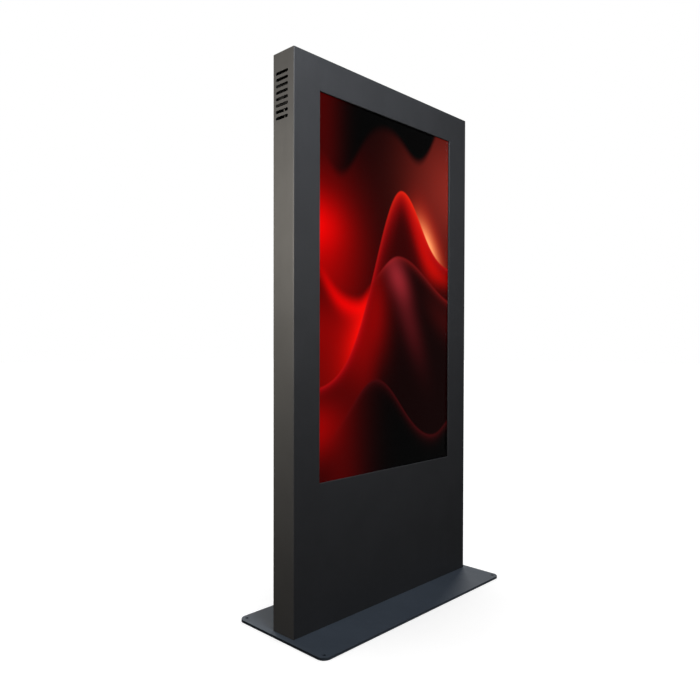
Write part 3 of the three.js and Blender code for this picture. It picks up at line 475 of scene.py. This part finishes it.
def area_light(name, place, target, power, width, tint):
    data = bpy.data.lights.new(name, "AREA")
    data.shape = "RECTANGLE"
    data.size = data.size_y = width
    data.energy = power
    data.color = tint
    light = bpy.data.objects.new(name, data)
    bpy.context.scene.collection.objects.link(light)
    light.location = place
    light.rotation_euler = (Vector(target) - Vector(place)).to_track_quat("-Z", "Y").to_euler()
    light.visible_camera = False
    return light


def keep_off(light, *objects):
    """The light doesn't fall on these objects."""
    unlit = bpy.data.collections.new(f"not_lit_by_{light.name}")
    light.light_linking.receiver_collection = unlit
    for i, thing in enumerate(objects):
        unlit.objects.link(thing)
        unlit.collection_objects[i].light_linking.link_state = "EXCLUDE"


def make_light(floor):
    """Soft studio lights round the kiosk: falling off down its left side and front, gentler behind."""
    side = area_light("side_light", (-1.43, 0.12, 1.37), (-0.45, 0.12, 1.35), 24, 0.5, (1.0, 0.93, 0.8))
    front = area_light("front_light", (-0.65, -1.23, 2.5), (-0.2, 0.0, 1.5), 31, 0.7, (0.88, 0.93, 1.0))
    fill = area_light("fill_light", (0.5, -2.2, 1.3), (0.15, 0.0, 1.25), 0.95, 0.6, (1.0, 0.99, 0.98))
    fill.data.spread = math.radians(70)
    rear = area_light("rear_light", (2.5, 1.3, 2.9), (0.0, 0.0, 0.9), 44, 1.2, (1.0, 0.99, 0.97))
    back = area_light("back_light", (0.3, 3.0, 1.7), (0.0, 0.0, 0.9), 40, 1.6, (1.0, 0.99, 0.97))
    keep_off(side, floor, NODES["base_plate"])
    for light in (front, fill):  # kept off the screen too, which would mirror them as pale squares
        keep_off(light, floor, NODES["touch_glass"], NODES["lcd_panel"])
    for light in (rear, back):
        keep_off(light, floor)


def make_world():
    world = bpy.data.worlds.new("studio")
    bpy.context.scene.world = world
    world.use_nodes = True
    tree = world.node_tree
    tree.nodes.clear()
    ray = tree.nodes.new("ShaderNodeLightPath")
    seen = tree.nodes.new("ShaderNodeBackground")
    dim = tree.nodes.new("ShaderNodeBackground")
    mix = tree.nodes.new("ShaderNodeMixShader")
    output = tree.nodes.new("ShaderNodeOutputWorld")
    seen.inputs["Color"].default_value = (1.0, 1.0, 1.0, 1.0)
    dim.inputs["Color"].default_value = (0.98, 0.98, 1.0, 1.0)
    dim.inputs["Strength"].default_value = 0.04
    tree.links.new(ray.outputs["Is Camera Ray"], mix.inputs[0])
    tree.links.new(dim.outputs[0], mix.inputs[1])
    tree.links.new(seen.outputs[0], mix.inputs[2])
    tree.links.new(mix.outputs[0], output.inputs["Surface"])


def floor_sun(floor, name, energy, angle, blockers):
    """A wide sun that lights the floor alone, shadowed by the blockers, or by everything without them."""
    data = bpy.data.lights.new(name, "SUN")
    data.energy = energy
    data.angle = math.radians(angle)
    light = bpy.data.objects.new(name, data)
    bpy.context.scene.collection.objects.link(light)
    lit = bpy.data.collections.new(f"lit_by_{name}")
    lit.objects.link(floor)
    light.light_linking.receiver_collection = lit
    if blockers:
        shading = bpy.data.collections.new(f"shades_{name}")
        for blocker in blockers:
            shading.objects.link(blocker)
        light.light_linking.blocker_collection = shading


def make_floor():
    """A white studio floor, partly self-lit so that it stays even, with lights of its own for its shadows."""
    mesh = bpy.data.meshes.new("floor")
    corners = [(across * 30.0, back * 30.0, 0) for across, back in ((-1, -1), (1, -1), (1, 1), (-1, 1))]
    mesh.from_pydata(corners, [], [(0, 1, 2, 3)])
    floor = bpy.data.objects.new("floor", mesh)
    bpy.context.scene.collection.objects.link(floor)
    floor.location.z = -0.2 * MM
    look = Look("floor", Roughness=0.9, Specular_IOR_Level=0.0, Emission_Strength=0.34)
    mottle = look.noise(3, detail=4)
    look.set("Base Color", look.blend(mottle.step(0.3, 0.7), (0.8, 0.8, 0.8), (0.81, 0.81, 0.81)))
    look.shader.inputs["Emission Color"].default_value = (1.0, 1.0, 1.0, 1.0)
    mesh.materials.append(look.material)
    floor.visible_diffuse = False
    floor.visible_glossy = False
    floor.visible_transmission = False
    floor_sun(floor, "floor_light", 1.0, 70, [])
    floor_sun(floor, "floor_edge_light", 2.2, 150, [NODES["base_plate"]])
    return floor


def smoothing():
    """A node group that shades smooth, but keeps edges sharper than 40 degrees sharp."""
    group = bpy.data.node_groups.new("smooth_by_angle", "GeometryNodeTree")
    group.interface.new_socket("Geometry", in_out="INPUT", socket_type="NodeSocketGeometry")
    group.interface.new_socket("Geometry", in_out="OUTPUT", socket_type="NodeSocketGeometry")
    start = group.nodes.new("NodeGroupInput")
    end = group.nodes.new("NodeGroupOutput")
    angle = group.nodes.new("GeometryNodeInputMeshEdgeAngle")
    compare = group.nodes.new("FunctionNodeCompare")
    compare.data_type = "FLOAT"
    compare.operation = "LESS_EQUAL"
    compare.inputs[1].default_value = math.radians(40)
    faces = group.nodes.new("GeometryNodeSetShadeSmooth")
    edges = group.nodes.new("GeometryNodeSetShadeSmooth")
    edges.domain = "EDGE"
    group.links.new(start.outputs[0], faces.inputs["Geometry"])
    group.links.new(faces.outputs[0], edges.inputs["Geometry"])
    group.links.new(angle.outputs["Unsigned Angle"], compare.inputs[0])
    group.links.new(compare.outputs[0], edges.inputs["Shade Smooth"])
    group.links.new(edges.outputs[0], end.inputs[0])
    return group


SMOOTHING = smoothing()


def soften(piece, width, segments=2):
    """Rounds a trim piece's sharp edges over `width`, if it isn't 0, without touching its mesh.

    A CAD piece's faces share no corners, so its edges stay sharp, and `flat` drops its needle-thin faces.
    """
    flat = piece.modifiers.new("flat_faces", "DECIMATE")
    flat.decimate_type = "DISSOLVE"
    flat.angle_limit = math.radians(0.5)
    if width:
        bevel = piece.modifiers.new("edges", "BEVEL")
        bevel.width = width
        bevel.segments = segments
        bevel.limit_method = "ANGLE"
        bevel.angle_limit = math.radians(35)
        bevel.use_clamp_overlap = True
    shade = piece.modifiers.new("shading", "NODES")
    shade.node_group = SMOOTHING
    normals = piece.modifiers.new("normals", "WEIGHTED_NORMAL")
    normals.keep_sharp = True
    normals.weight = 60


def dress(names, material, width=0.4 * MM, segments=2):
    for name in names:
        node = NODES[name]
        node.data.materials.clear()
        node.data.materials.append(material)
        soften(node, width, segments)


# ------------------------------------------------------------
# Small pieces: turned heads, ties and board parts, each modelled in place


class Shape:
    """Vertices and faces gathered up for one piece."""

    def __init__(self):
        self.points = []
        self.faces = []

    def ring(self, centre, axes, outline):
        """Adds a loop of points; outline gives (across, up) in the plane of the first two axes."""
        start = len(self.points)
        across, up, _ = axes
        self.points += [centre + across * a + up * b for a, b in outline]
        return list(range(start, len(self.points)))

    def skin(self, lower, upper):
        count = len(lower)
        for i in range(count):
            j = (i + 1) % count
            self.faces.append((lower[i], lower[j], upper[j], upper[i]))

    def stack(self, base, axes, levels):
        """Closed solid through loops at rising heights along the third axis: levels of (height, outline)."""
        loops = [self.ring(base + axes[2] * height, axes, outline) for height, outline in levels]
        for lower, upper in zip(loops, loops[1:]):
            self.skin(lower, upper)
        self.faces.append(tuple(reversed(loops[0])))
        self.faces.append(tuple(loops[-1]))

    def tube(self, base, axes, outer, inner, height):
        """A flat ring of rectangular section, with its hole along the third axis."""
        top = base + axes[2] * height
        loops = [self.ring(base, axes, outer), self.ring(top, axes, outer)]
        loops += [self.ring(top, axes, inner), self.ring(base, axes, inner)]
        for lower, upper in zip(loops, loops[1:] + loops[:1]):
            self.skin(lower, upper)

    def wire(self, path, normal, radius, closed=False):
        """Round wire along points that lie in a plane square to `normal`."""
        sides = 8
        normal = Vector(normal)
        outline = round_outline(radius, [2 * math.pi * i / sides for i in range(sides)])
        loops = []
        count = len(path)
        for i, point in enumerate(path):
            before = path[i - 1] if i or closed else point
            after = path[(i + 1) % count] if i + 1 < count or closed else point
            along = (after - before).normalized()
            loops.append(self.ring(point, (normal, along.cross(normal), along), outline))
        for lower, upper in zip(loops, loops[1:]):
            self.skin(lower, upper)
        if closed:
            self.skin(loops[-1], loops[0])
        else:
            self.faces.append(tuple(reversed(loops[0])))
            self.faces.append(tuple(loops[-1]))

    def piece(self, name, body, slot, material, bevel=0.0):
        mesh = bpy.data.meshes.new(name)
        mesh.from_pydata(self.points, [], self.faces)
        mesh.validate()
        made = bpy.data.objects.new(name, mesh)
        bpy.context.scene.collection.objects.link(made)
        mesh.materials.append(material)
        soften(made, bevel)
        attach(made, body)


def frame_along(normal, turn=0.0):
    """Axes (across, up, out) with `out` along normal, turned about it by `turn` radians."""
    out = Vector(normal).normalized()
    level = Vector((0, 0, 1)) if abs(out.z) < 0.9 else Vector((1, 0, 0))
    across = level.cross(out).normalized()
    up = out.cross(across)
    cosine, sine = math.cos(turn), math.sin(turn)
    return across * cosine + up * sine, up * cosine - across * sine, out


CROSS_ARM = 0.24  # half width of a cross recess's arm, as a share of its reach
ARM_ANGLE = math.atan(CROSS_ARM)
CROSS_ANGLES = sorted(
    quarter * math.pi / 2 + angle
    for quarter in range(4)
    for angle in (0.0, ARM_ANGLE, 0.45, math.pi / 4, math.pi / 2 - 0.45, math.pi / 2 - ARM_ANGLE)
)


def round_outline(radius, angles=CROSS_ANGLES):
    return [(radius * math.cos(a), radius * math.sin(a)) for a in angles]


def cross_outline(reach):
    outline = []
    for a in CROSS_ANGLES:
        cosine, sine = abs(math.cos(a)), abs(math.sin(a))
        far, near = max(cosine, sine), min(cosine, sine)
        radius = min(reach / far, CROSS_ARM * reach / max(near, 1e-6))
        outline.append((radius * math.cos(a), radius * math.sin(a)))
    return outline


def box_outline(width, height):
    w, h = width / 2, height / 2
    return [(-w, -h), (w, -h), (w, h), (-w, h)]


def cushion(width, height, squareness):
    """An ellipse at 1, filling out towards a rounded rectangle as squareness falls towards 0."""
    outline = []
    for i in range(20):
        cosine, sine = math.cos(math.pi * i / 10), math.sin(math.pi * i / 10)
        across = math.copysign(abs(cosine) ** squareness, cosine) * width / 2
        up = math.copysign(abs(sine) ** squareness, sine) * height / 2
        outline.append((across, up))
    return outline


def hexagon(radius):
    return round_outline(radius, [math.pi / 3 * i for i in range(6)])


def add_screw(shape, place, normal, radius, turn):
    """A pan head with a cross recess, standing on `place`."""
    height = radius * 0.5
    levels = [
        (0.0, round_outline(radius)),
        (height * 0.3, round_outline(radius)),
        (height * 0.72, round_outline(radius * 0.9)),
        (height, round_outline(radius * 0.66)),
        (height, cross_outline(radius * 0.5)),
        (height * 0.35, cross_outline(radius * 0.3)),
    ]
    shape.stack(Vector(place), frame_along(normal, turn), levels)


def add_bolt(shape, place, normal, radius, turn):
    """A hexagon head on a washer."""
    axes = frame_along(normal, turn)
    base = Vector(place)
    washer = round_outline(radius * 1.45)
    shape.stack(base, axes, [(0.0, washer), (radius * 0.22, washer)])
    lift = base + axes[2] * radius * 0.22
    head = [(0.0, hexagon(radius)), (radius * 0.62, hexagon(radius)), (radius * 0.72, hexagon(radius * 0.86))]
    shape.stack(lift, axes, head)


def add_block(shape, place, axes, width, height, depth, chamfer=0.2 * MM):
    """A block standing on `place`, with the edges of its far face chamfered."""
    outline = box_outline(width, height)
    far = box_outline(width - 2 * chamfer, height - 2 * chamfer)
    shape.stack(Vector(place), axes, [(0.0, outline), (depth - chamfer, outline), (depth, far)])


def add_turned(shape, place, normal, levels):
    """A turned piece standing on `place`: levels of (height, radius) in millimetres."""
    shape.stack(place, frame_along(normal), [(h * MM, round_outline(r * MM)) for h, r in levels])


def fasteners(name, places, radius, add=add_screw, body=CABINET, normal=BACKWARDS):
    """One piece holding a group of like zinc-plated fasteners, each turned differently."""
    shape = Shape()
    for i, place in enumerate(places):
        add(shape, place, normal, radius, 0.7 + 1.9 * i)
    shape.piece(name, body, "zinc", ZINC_LOOK, bevel=0.08 * MM)


def corner_places(low, high, y, inset_x, inset_z):
    """The four corners of a box seen from behind, set in from its edges, at the depth y."""
    columns, rows = (low.x + inset_x, high.x - inset_x), (low.z + inset_z, high.z - inset_z)
    return [(x, y, z) for x in columns for z in rows]


# ------------------------------------------------------------
# The scene, and the looks of the CAD pieces

make_camera()
make_light(make_floor())
make_world()
bpy.context.scene.view_settings.view_transform = "Standard"

coating = powder_coat("enclosure_coating", (0.047, 0.047, 0.049), (0.11, 0.11, 0.11))
dress(["enclosure_shell", "rear_door", "door_rebate_frame", "entry_plate"], coating, 0.6 * MM)
base_coating = powder_coat("base_coating", (0.085, 0.103, 0.127), (0.16, 0.17, 0.18))
dress(["base_plate"], base_coating, 0.8 * MM, 3)
dress(["glass_gasket", "door_gasket"], foam(), 0.3 * MM)
dress(["touch_glass"], cover_glass(), 0.3 * MM)
dress(["lcd_panel"], screen_picture(), 0)
dress(["diffuser_plate"], diffuser(), 0.2 * MM)

# Bare metal.
ZINC_LOOK = metal("zinc", (0.6, 0.6, 0.58), 0.3, spangle=0.08, tarnish=(0.35, 0.34, 0.31))
galvanised = metal("galvanised", (0.44, 0.46, 0.47), 0.42, spangle=0.2)
hinge_steel = metal("hinge_steel", (0.36, 0.36, 0.37), 0.36, streaks=(1, 1, 0.04))
brass = metal("lock_brass", (0.72, 0.53, 0.24), 0.42, streaks=(1, 0.2, 1), tarnish=(0.3, 0.19, 0.08))
contact = metal("contact_brass", (0.75, 0.6, 0.32), 0.22)
contact_tin = metal("solder_tin", (0.62, 0.62, 0.6), 0.32, relief=0.01)
tray_metal = metal("tray_aluminium", (0.5, 0.51, 0.53), 0.42, streaks=(1, 1, 0.03), relief=0.012)
supply_metal = metal("supply_aluminium", (0.56, 0.57, 0.58), 0.4, streaks=(0.05, 1, 1))
RAILS = ["display_rail_left", "display_rail_right", "cross_member_lower", "cross_member_upper"]
dress(["base_channel", *RAILS, "equipment_bracket"], galvanised, 0.4 * MM)
dress([f"base_bolt_{i}" for i in (1, 2, 3, 4)], ZINC_LOOK, 0.2 * MM)
for end in ("lower", "upper"):
    dress([f"{end}_lock_body", f"{end}_lock_cam"], hinge_steel, 0.35 * MM)
    dress([f"{end}_lock_plug"], brass, 0.25 * MM)
for i in (1, 2, 3):
    dress([f"hinge_frame_leaf_{i}", f"hinge_door_leaf_{i}", f"hinge_pin_{i}"], hinge_steel, 0.3 * MM)
dress(["inlet_live_pin", "inlet_neutral_pin", "inlet_earth_pin"], contact, 0.3 * MM)
dress(["backlight_tray"], tray_metal, 0.5 * MM)
dress(["power_supply"], supply_metal, 0.3 * MM)

# Plastics, boards and leads.
moulding = plastic("black_moulding", (0.018, 0.018, 0.019))
dress(["power_inlet", "power_switch_housing", "network_socket"], moulding, 0.4 * MM)
rocker_plastic = plastic("rocker_plastic", (0.014, 0.014, 0.015), rough=0.28, grain=0.03)
dress(["power_switch_rocker"], rocker_plastic, 0.5 * MM)
# The fans' plastic is nearly black, darker than the other black mouldings: painted shade, so that the fans
# read dark through the vent slots.
fan_plastic_painted_shade = plastic("fan_plastic_painted_shade", (0.005, 0.005, 0.0055), rough=0.5, grain=0.05, shine=0.12)
dress(["fan_frame_left", "fan_frame_right", "fan_rotor_left", "fan_rotor_right"], fan_plastic_painted_shade, 0.25 * MM)
dress(["media_player"], brushed_case("player_case", (0.06, 0.062, 0.066)), 0.5 * MM)
BOARD_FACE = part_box("cross_member_lower")[0].y - 4.1 * MM
BOARDS = ["display_mainboard", "display_power_board", "touch_controller_board"]
dress(BOARDS, circuit_board(BOARD_FACE), 0.15 * MM)
leads = [name for name in NODES if "lead" in name]
dress(leads, sheath("lead_sheath", (0.016, 0.016, 0.017)), 0)

# ------------------------------------------------------------
# Fastenings

ON_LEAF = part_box("hinge_door_leaf_1")[0].y + 2 * MM
FAN_FIXING = 25  # millimetres from the fan's axis to its screws, across and up
for i in (1, 2, 3):
    for side, body in (("frame", CABINET), ("door", DOOR)):
        low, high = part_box(f"hinge_{side}_leaf_{i}")
        outer = low.x + 7.6 * MM if side == "frame" else high.x - 7.6 * MM
        places = [(outer, ON_LEAF, (low.z + high.z) / 2 + offset * MM) for offset in (-28, 0, 28)]
        fasteners(f"hinge_{side}_screws_{i}", places, 3.3 * MM, body=body)
low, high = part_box("entry_plate")
places = corner_places(low, high, high.y, 8 * MM, 8 * MM)
fasteners("entry_plate_screws", places, 3.6 * MM)
low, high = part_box("power_inlet")
middle = (low + high) / 2
places = [(middle.x + side * 20 * MM, high.y, middle.z) for side in (-1, 1)]
fasteners("inlet_screws", places, 2.7 * MM)
for side, inward in (("left", 1), ("right", -1)):
    low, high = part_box(f"fan_frame_{side}")
    face = high.x if inward > 0 else low.x
    middle = (low + high) / 2
    offsets = (-FAN_FIXING * MM, FAN_FIXING * MM)
    places = [(face, middle.y + a, middle.z + b) for a in offsets for b in offsets]
    fasteners(f"fan_screws_{side}", places, 3.0 * MM, normal=(inward, 0, 0))
for name in BOARDS:
    places = corner_places(*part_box(name), BOARD_FACE + 1.5 * MM, 6 * MM, 6 * MM)
    fasteners(f"{name}_screws", places, 3.2 * MM)
for level in ("lower", "upper"):
    low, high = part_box(f"cross_member_{level}")
    web = low.y + 2 * MM
    places = [(x, web, (low.z + high.z) / 2) for x in (-0.262, -0.238, 0.238, 0.262)]
    fasteners(f"cross_member_{level}_bolts", places, 5 * MM, add=add_bolt)
low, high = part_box("backlight_tray")
rows = [low.z + (0.04 + 0.115 * i) * (high.z - low.z) for i in range(9)]
places = [(x, high.y - 2 * MM, z) for x in (low.x + 12 * MM, high.x - 12 * MM) for z in rows]
fasteners("tray_screws", places, 2.6 * MM)
low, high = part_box("equipment_bracket")
places = corner_places(low, high, high.y, 14 * MM, 16 * MM)
fasteners("bracket_bolts", places, 5 * MM, add=add_bolt)

# Each case's lid is held at its corners: half its width and its height in millimetres, and its depth.
CASES = [("media_player", 90, 150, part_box("media_player")[1].y), ("power_supply", 57.5, 200, 12.3 * MM)]
for name, half_wide, tall, lid in CASES:
    low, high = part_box(name)
    middle = (low + high) / 2
    columns = [middle.x + side * (half_wide - 8) * MM for side in (-1, 1)]
    rows = (high.z - tall * MM + 8 * MM, high.z - 8 * MM)
    places = [(x, lid, z) for x in columns for z in rows]
    fasteners(f"{name}_screws", places, 2.2 * MM)
places = [((150 + 15 * (i - 2.5)) * MM, 4.3 * MM, 226 * MM) for i in range(6)]
fasteners("terminal_screws", places, 3.4 * MM)

# Mounting tabs at the sides of the equipment.
tabs = Shape()
tab_places = []
for x, reach, z in ((-150, 90, 335), (150, 57.5, 332)):
    for across in (-1, 1):
        for up in (-1, 1):
            place = Vector((x + across * (reach + 6), -17.9, z + up * 45)) * MM
            add_block(tabs, place, frame_along(BACKWARDS), 13 * MM, 20 * MM, 1.6 * MM, 0.3 * MM)
            tab_places.append(place + Vector((across * 1.5, 1.6, 0)) * MM)
tabs.piece("equipment_tabs", CABINET, "supply_aluminium", supply_metal, 0.2 * MM)
fasteners("tab_screws", tab_places, 3.0 * MM)

# ------------------------------------------------------------
# Small fittings


def add_plug(shape, tip, towards, width, height, length, lead_radius):
    """A moulded plug whose face is at `tip`, with a tapered boot over the lead behind it."""
    body = cushion(width, height, 0.3)
    boot = cushion(2 * lead_radius + 3 * MM, 2 * lead_radius + 3 * MM, 1)
    end = cushion(2 * lead_radius + 1 * MM, 2 * lead_radius + 1 * MM, 1)
    levels = [
        (0.0, body),
        (length - 1 * MM, body),
        (length, cushion(width * 0.86, height * 0.86, 0.4)),
        (length + 0.4 * MM, boot),
        (length + 3.4 * MM, boot),
        (length + 9 * MM, end),
    ]
    shape.stack(Vector(tip), frame_along(towards), levels)


# Plugs on the leads, in millimetres: tip, which way the lead leaves, width, height, length, lead radius.
UP, DOWN = (0, 0, 1), (0, 0, -1)
PLUGS = [
    ((-292, 33.2, 95), (0, -1, 0), 20, 12, 7, 4),
    ((150, -6, 219.6), DOWN, 11, 11, 8, 4),
    ((150, 0, 432.4), UP, 14, 9, 8, 3.5),
    ((150, -6.4, 848.6), DOWN, 20, 7, 9, 3.5),
    ((-150, 0, 410.4), UP, 18, 8, 14, 3),
    ((-130, -6.4, 848.6), DOWN, 18, 7, 10, 3),
    ((-110, 0, 410.4), UP, 13, 7, 12, 2.2),
    ((-56.4, -6.4, 497), (-1, 0, 0), 12, 6, 7, 2.2),
    ((120, 0, 432.4), UP, 10, 8, 7, 2.5),
    ((-190, 0, 410.4), UP, 9, 9, 12, 2.5),
    ((-438, 8, 1619.7), DOWN, 6, 6, 6, 1.8),
    ((-130, -6.4, 990.5), UP, 10, 6, 8, 1.8),
    ((438, 8, 1619.7), DOWN, 6, 6, 6, 1.8),
    ((150, -6.4, 1040.5), UP, 10, 6, 8, 1.8),
]
plugs = Shape()
for tip, towards, *sizes in PLUGS:
    width, height, length, lead_radius = (size * MM for size in sizes)
    add_plug(plugs, Vector(tip) * MM, towards, width, height, length, lead_radius)
plugs.piece("lead_plugs", CABINET, "black_plastic", moulding)


def lead_ring(name, axis, place, radius):
    """The middle of a lead's ring of vertices nearest to `place` along an axis."""
    points = [vertex.co for vertex in NODES[name].data.vertices]
    nearest = min(points, key=lambda point: abs(point[axis] - place))
    ring = [point for point in points if (point - nearest).length < 2.3 * radius]
    return sum(ring, Vector()) / len(ring)


def add_tie(shape, name, axis, place, radius):
    """A cable tie round a lead: its band, its head and the cut tail."""
    middle = lead_ring(name, axis, place, radius)
    ahead = lead_ring(name, axis, place + 30 * MM, radius)
    behind = lead_ring(name, axis, place - 30 * MM, radius)
    axes = frame_along(ahead - behind)
    outer, inner = radius + 1.1 * MM, radius + 0.1 * MM
    width = 2.6 * MM
    shape.tube(middle - axes[2] * width / 2, axes, round_outline(outer), round_outline(inner), width)
    out = Vector((0, 1, 0))
    side = axes[2].cross(out).normalized()
    out = side.cross(axes[2])
    on_band = middle + out * (outer - 0.5 * MM)
    add_block(shape, on_band, (side, axes[2], out), 4.4 * MM, 4.2 * MM, 3 * MM, 0.5 * MM)
    tail = on_band + side * 2 * MM + out * 1.4 * MM
    add_block(shape, tail, (axes[2], out, side), 2.4 * MM, 1 * MM, 6 * MM, 0.2 * MM)


# Ties: the lead, the axis it runs along there, and in millimetres the place on it and its radius.
UPRIGHT, ACROSS = 2, 0
TIES = [
    ("display_power_lead", UPRIGHT, 620, 3.5), ("display_power_lead", UPRIGHT, 760, 3.5),
    ("video_lead", UPRIGHT, 620, 3), ("video_lead", UPRIGHT, 760, 3),
    ("mains_lead", ACROSS, -30, 4), ("player_power_lead", ACROSS, -40, 2.5),
    ("fan_lead_left", UPRIGHT, 1380, 1.8), ("fan_lead_left", UPRIGHT, 1180, 1.8),
    ("fan_lead_right", UPRIGHT, 1380, 1.8), ("fan_lead_right", UPRIGHT, 1180, 1.8),
]
ties = Shape()
for name, axis, place, radius in TIES:
    add_tie(ties, name, axis, place * MM, radius * MM)
nylon = plastic("tie_nylon", (0.5, 0.49, 0.45), rough=0.4, grain=0.03)
ties.piece("cable_ties", CABINET, "black_plastic", nylon)

# Finger guards of bent wire on the fans' inner faces.
for side, inward in (("left", 1), ("right", -1)):
    low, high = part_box(f"fan_frame_{side}")
    face = high.x if inward > 0 else low.x
    axis = Vector((face + inward * 1.9 * MM, (low.y + high.y) / 2, (low.z + high.z) / 2))
    guard = Shape()
    for radius in (9, 16, 23, 28.5):
        turns = [2 * math.pi * i / 40 for i in range(40)]
        loop = [axis + Vector((0, math.cos(a), math.sin(a))) * radius * MM for a in turns]
        guard.wire(loop, (1, 0, 0), 0.7 * MM, closed=True)
    for quarter in range(4):
        a = math.pi / 4 + quarter * math.pi / 2
        spoke = Vector((0, math.cos(a), math.sin(a)))
        lift = Vector((inward * 1.0 * MM, 0, 0))
        guard.wire([axis + lift + spoke * 8 * MM, axis + lift + spoke * 31 * MM], (1, 0, 0), 0.8 * MM)
        eye = frame_along((inward, 0, 0))  # each eye lies on a fan screw
        seat = axis + spoke * FAN_FIXING * math.sqrt(2) * MM - Vector((inward * 1.7 * MM, 0, 0))
        guard.tube(seat, eye, round_outline(4.6 * MM), round_outline(2.4 * MM), 1.2 * MM)
    guard.piece(f"fan_guard_{side}", CABINET, "black_plastic", moulding)

# The rocker's marks, raised on its two wings, in the rocker's own plane as it stands at rest.
ROCKER_PIVOT = Vector((-238, 50, 95)) * MM
ROCKER_TILT = Matrix.Rotation(math.radians(-10), 3, "X")
WING_SLOPE = 1.8 / 11
marks = Shape()
for way in (1, -1):
    along = Vector((0, WING_SLOPE, way)).normalized()
    out = Vector((0, 1, -WING_SLOPE * way)).normalized()
    place = ROCKER_PIVOT + ROCKER_TILT @ (Vector((0, 3.8, 0)) + along * 6 - out * 0.1) * MM
    axes = (Vector((1, 0, 0)), ROCKER_TILT @ along, ROCKER_TILT @ out)
    if way > 0:
        add_block(marks, place, axes, 1.1 * MM, 4.6 * MM, 0.3 * MM, 0.08 * MM)
    else:
        marks.tube(place, axes, round_outline(2.4 * MM), round_outline(1.5 * MM), 0.3 * MM)
marking = plastic("marking", (0.55, 0.55, 0.53), rough=0.5, grain=0.02)
marks.piece("rocker_marks", "power_rocker", "rocker_plastic", marking)

# Inside the network socket: eight sprung contacts, and two light windows on its flange.
low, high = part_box("network_socket")
middle = (low + high) / 2
contacts = Shape()
slope = Vector((0, -9.5, -2.4)).normalized()
for i in range(8):
    place = Vector((middle.x + (i - 3.5) * 1.02 * MM, high.y - 3.2 * MM, middle.z + 4.0 * MM))
    add_block(contacts, place, frame_along(slope), 0.42 * MM, 0.34 * MM, 9.4 * MM, 0.08 * MM)
contacts.piece("network_contacts", CABINET, "contact_brass", contact)
windows = Shape()
for across in (-1, 1):
    place = (middle.x + across * 4 * MM, high.y - 0.1 * MM, middle.z + 7.6 * MM)
    add_block(windows, place, frame_along(BACKWARDS), 3.2 * MM, 2.2 * MM, 0.5 * MM, 0.15 * MM)
lens = plastic("light_window", (0.1, 0.3, 0.09), rough=0.22, grain=0.01)
windows.piece("network_windows", CABINET, "black_plastic", lens)

# The player's button with its light beside it.
low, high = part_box("media_player")
button = Shape()
levels = [(0, 7), (0.9, 7), (1.3, 6.3), (0.4, 5.4), (1.5, 5.1), (1.9, 4.3)]
place = Vector((low.x + 17 * MM, high.y - 0.1 * MM, low.z + 20 * MM))
add_turned(button, place, BACKWARDS, levels)
button.piece("player_button", CABINET, "player_case", moulding, 0.1 * MM)
lamp = Shape()
levels = [(0, 1.7), (0.5, 1.6), (0.9, 1.0)]
place = Vector((low.x + 17 * MM, high.y - 0.1 * MM, low.z + 33 * MM))
add_turned(lamp, place, BACKWARDS, levels)
lamp.piece("player_light", CABINET, "player_case", lens)

# Weld marks along the door stiffener's two flanges.
welds = Shape()
levels = [(-0.1, 3.6), (0.3, 3.0), (0.32, 2.2), (0.1, 1.6)]
for across in (-1, 1):
    for i in range(16):
        place = Vector((across * 28, 45, 430 + 73 * i)) * MM
        add_turned(welds, place, (0, -1, 0), levels)
welds.piece("stiffener_welds", DOOR, "enclosure_coating", coating)


def clear_of_parts(tree, x, z, reach):
    """Whether the board's own face is bare out to `reach` round a place."""
    for across, up in ((0, 0), (-1, -1), (-1, 1), (1, -1), (1, 1)):
        start = Vector((x + across * reach, 0.06, z + up * reach))
        hit = tree.ray_cast(start, Vector((0, -1, 0)))[0]
        if hit is None or abs(hit.y - BOARD_FACE) > 0.1 * MM:
            return False
    return True


# Small parts over the clear stretches of the boards: chips with their pins, resistors and capacitors.
dice = random.Random(11)
bodies, ceramics, tinned = Shape(), Shape(), Shape()
upright, flat = frame_along(BACKWARDS), frame_along(BACKWARDS, math.pi / 2)
for name in BOARDS:
    mesh = NODES[name].data
    tree = BVHTree.FromPolygons([v.co for v in mesh.vertices], [tuple(p.vertices) for p in mesh.polygons])
    low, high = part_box(name)
    pitch = 9 * MM  # of the grid of places that a small part may take
    columns, rows = int((high.x - low.x) / pitch) - 1, int((high.z - low.z) / pitch) - 1
    for column in range(columns):
        for row in range(rows):
            x, z = low.x + (column + 1) * pitch, low.z + (row + 1) * pitch
            kind, turned = dice.random(), dice.random() < 0.5
            if kind > 0.6 or not clear_of_parts(tree, x, z, 4.2 * MM):
                continue
            axes = flat if turned else upright
            across, up = axes[0], axes[1]
            place = Vector((x, BOARD_FACE - 0.05 * MM, z))
            if kind < 0.14:
                add_block(bodies, place, axes, 5 * MM, 3.8 * MM, 1.3 * MM)
                for i in range(4):
                    for side in (-1, 1):
                        pin = place + across * (i - 1.5) * 1.27 * MM + up * side * 2.4 * MM
                        add_block(tinned, pin, axes, 0.45 * MM, 1.3 * MM, 0.4 * MM, 0.1 * MM)
                continue
            parts, length, width = (ceramics, 2.4, 1.5) if kind < 0.3 else (bodies, 1.8, 1.0)
            for offset in (-1.9, 0, 1.9) if kind > 0.45 else (-1.5, 1.5):
                spot = place + up * offset * MM
                add_block(parts, spot, axes, length * MM, width * MM, 0.8 * MM, 0.1 * MM)
                for side in (-1, 1):
                    end = spot + across * side * (length / 2 + 0.2) * MM
                    add_block(tinned, end, axes, 0.7 * MM, (width + 0.1) * MM, 0.85 * MM, 0.12 * MM)
bodies.piece("board_chips", CABINET, "circuit_board", moulding)
ceramic = plastic("ceramic", (0.42, 0.3, 0.18), rough=0.4, grain=0.01)
ceramics.piece("board_capacitors", CABINET, "circuit_board", ceramic)
tinned.piece("board_solder", CABINET, "circuit_board", contact_tin)
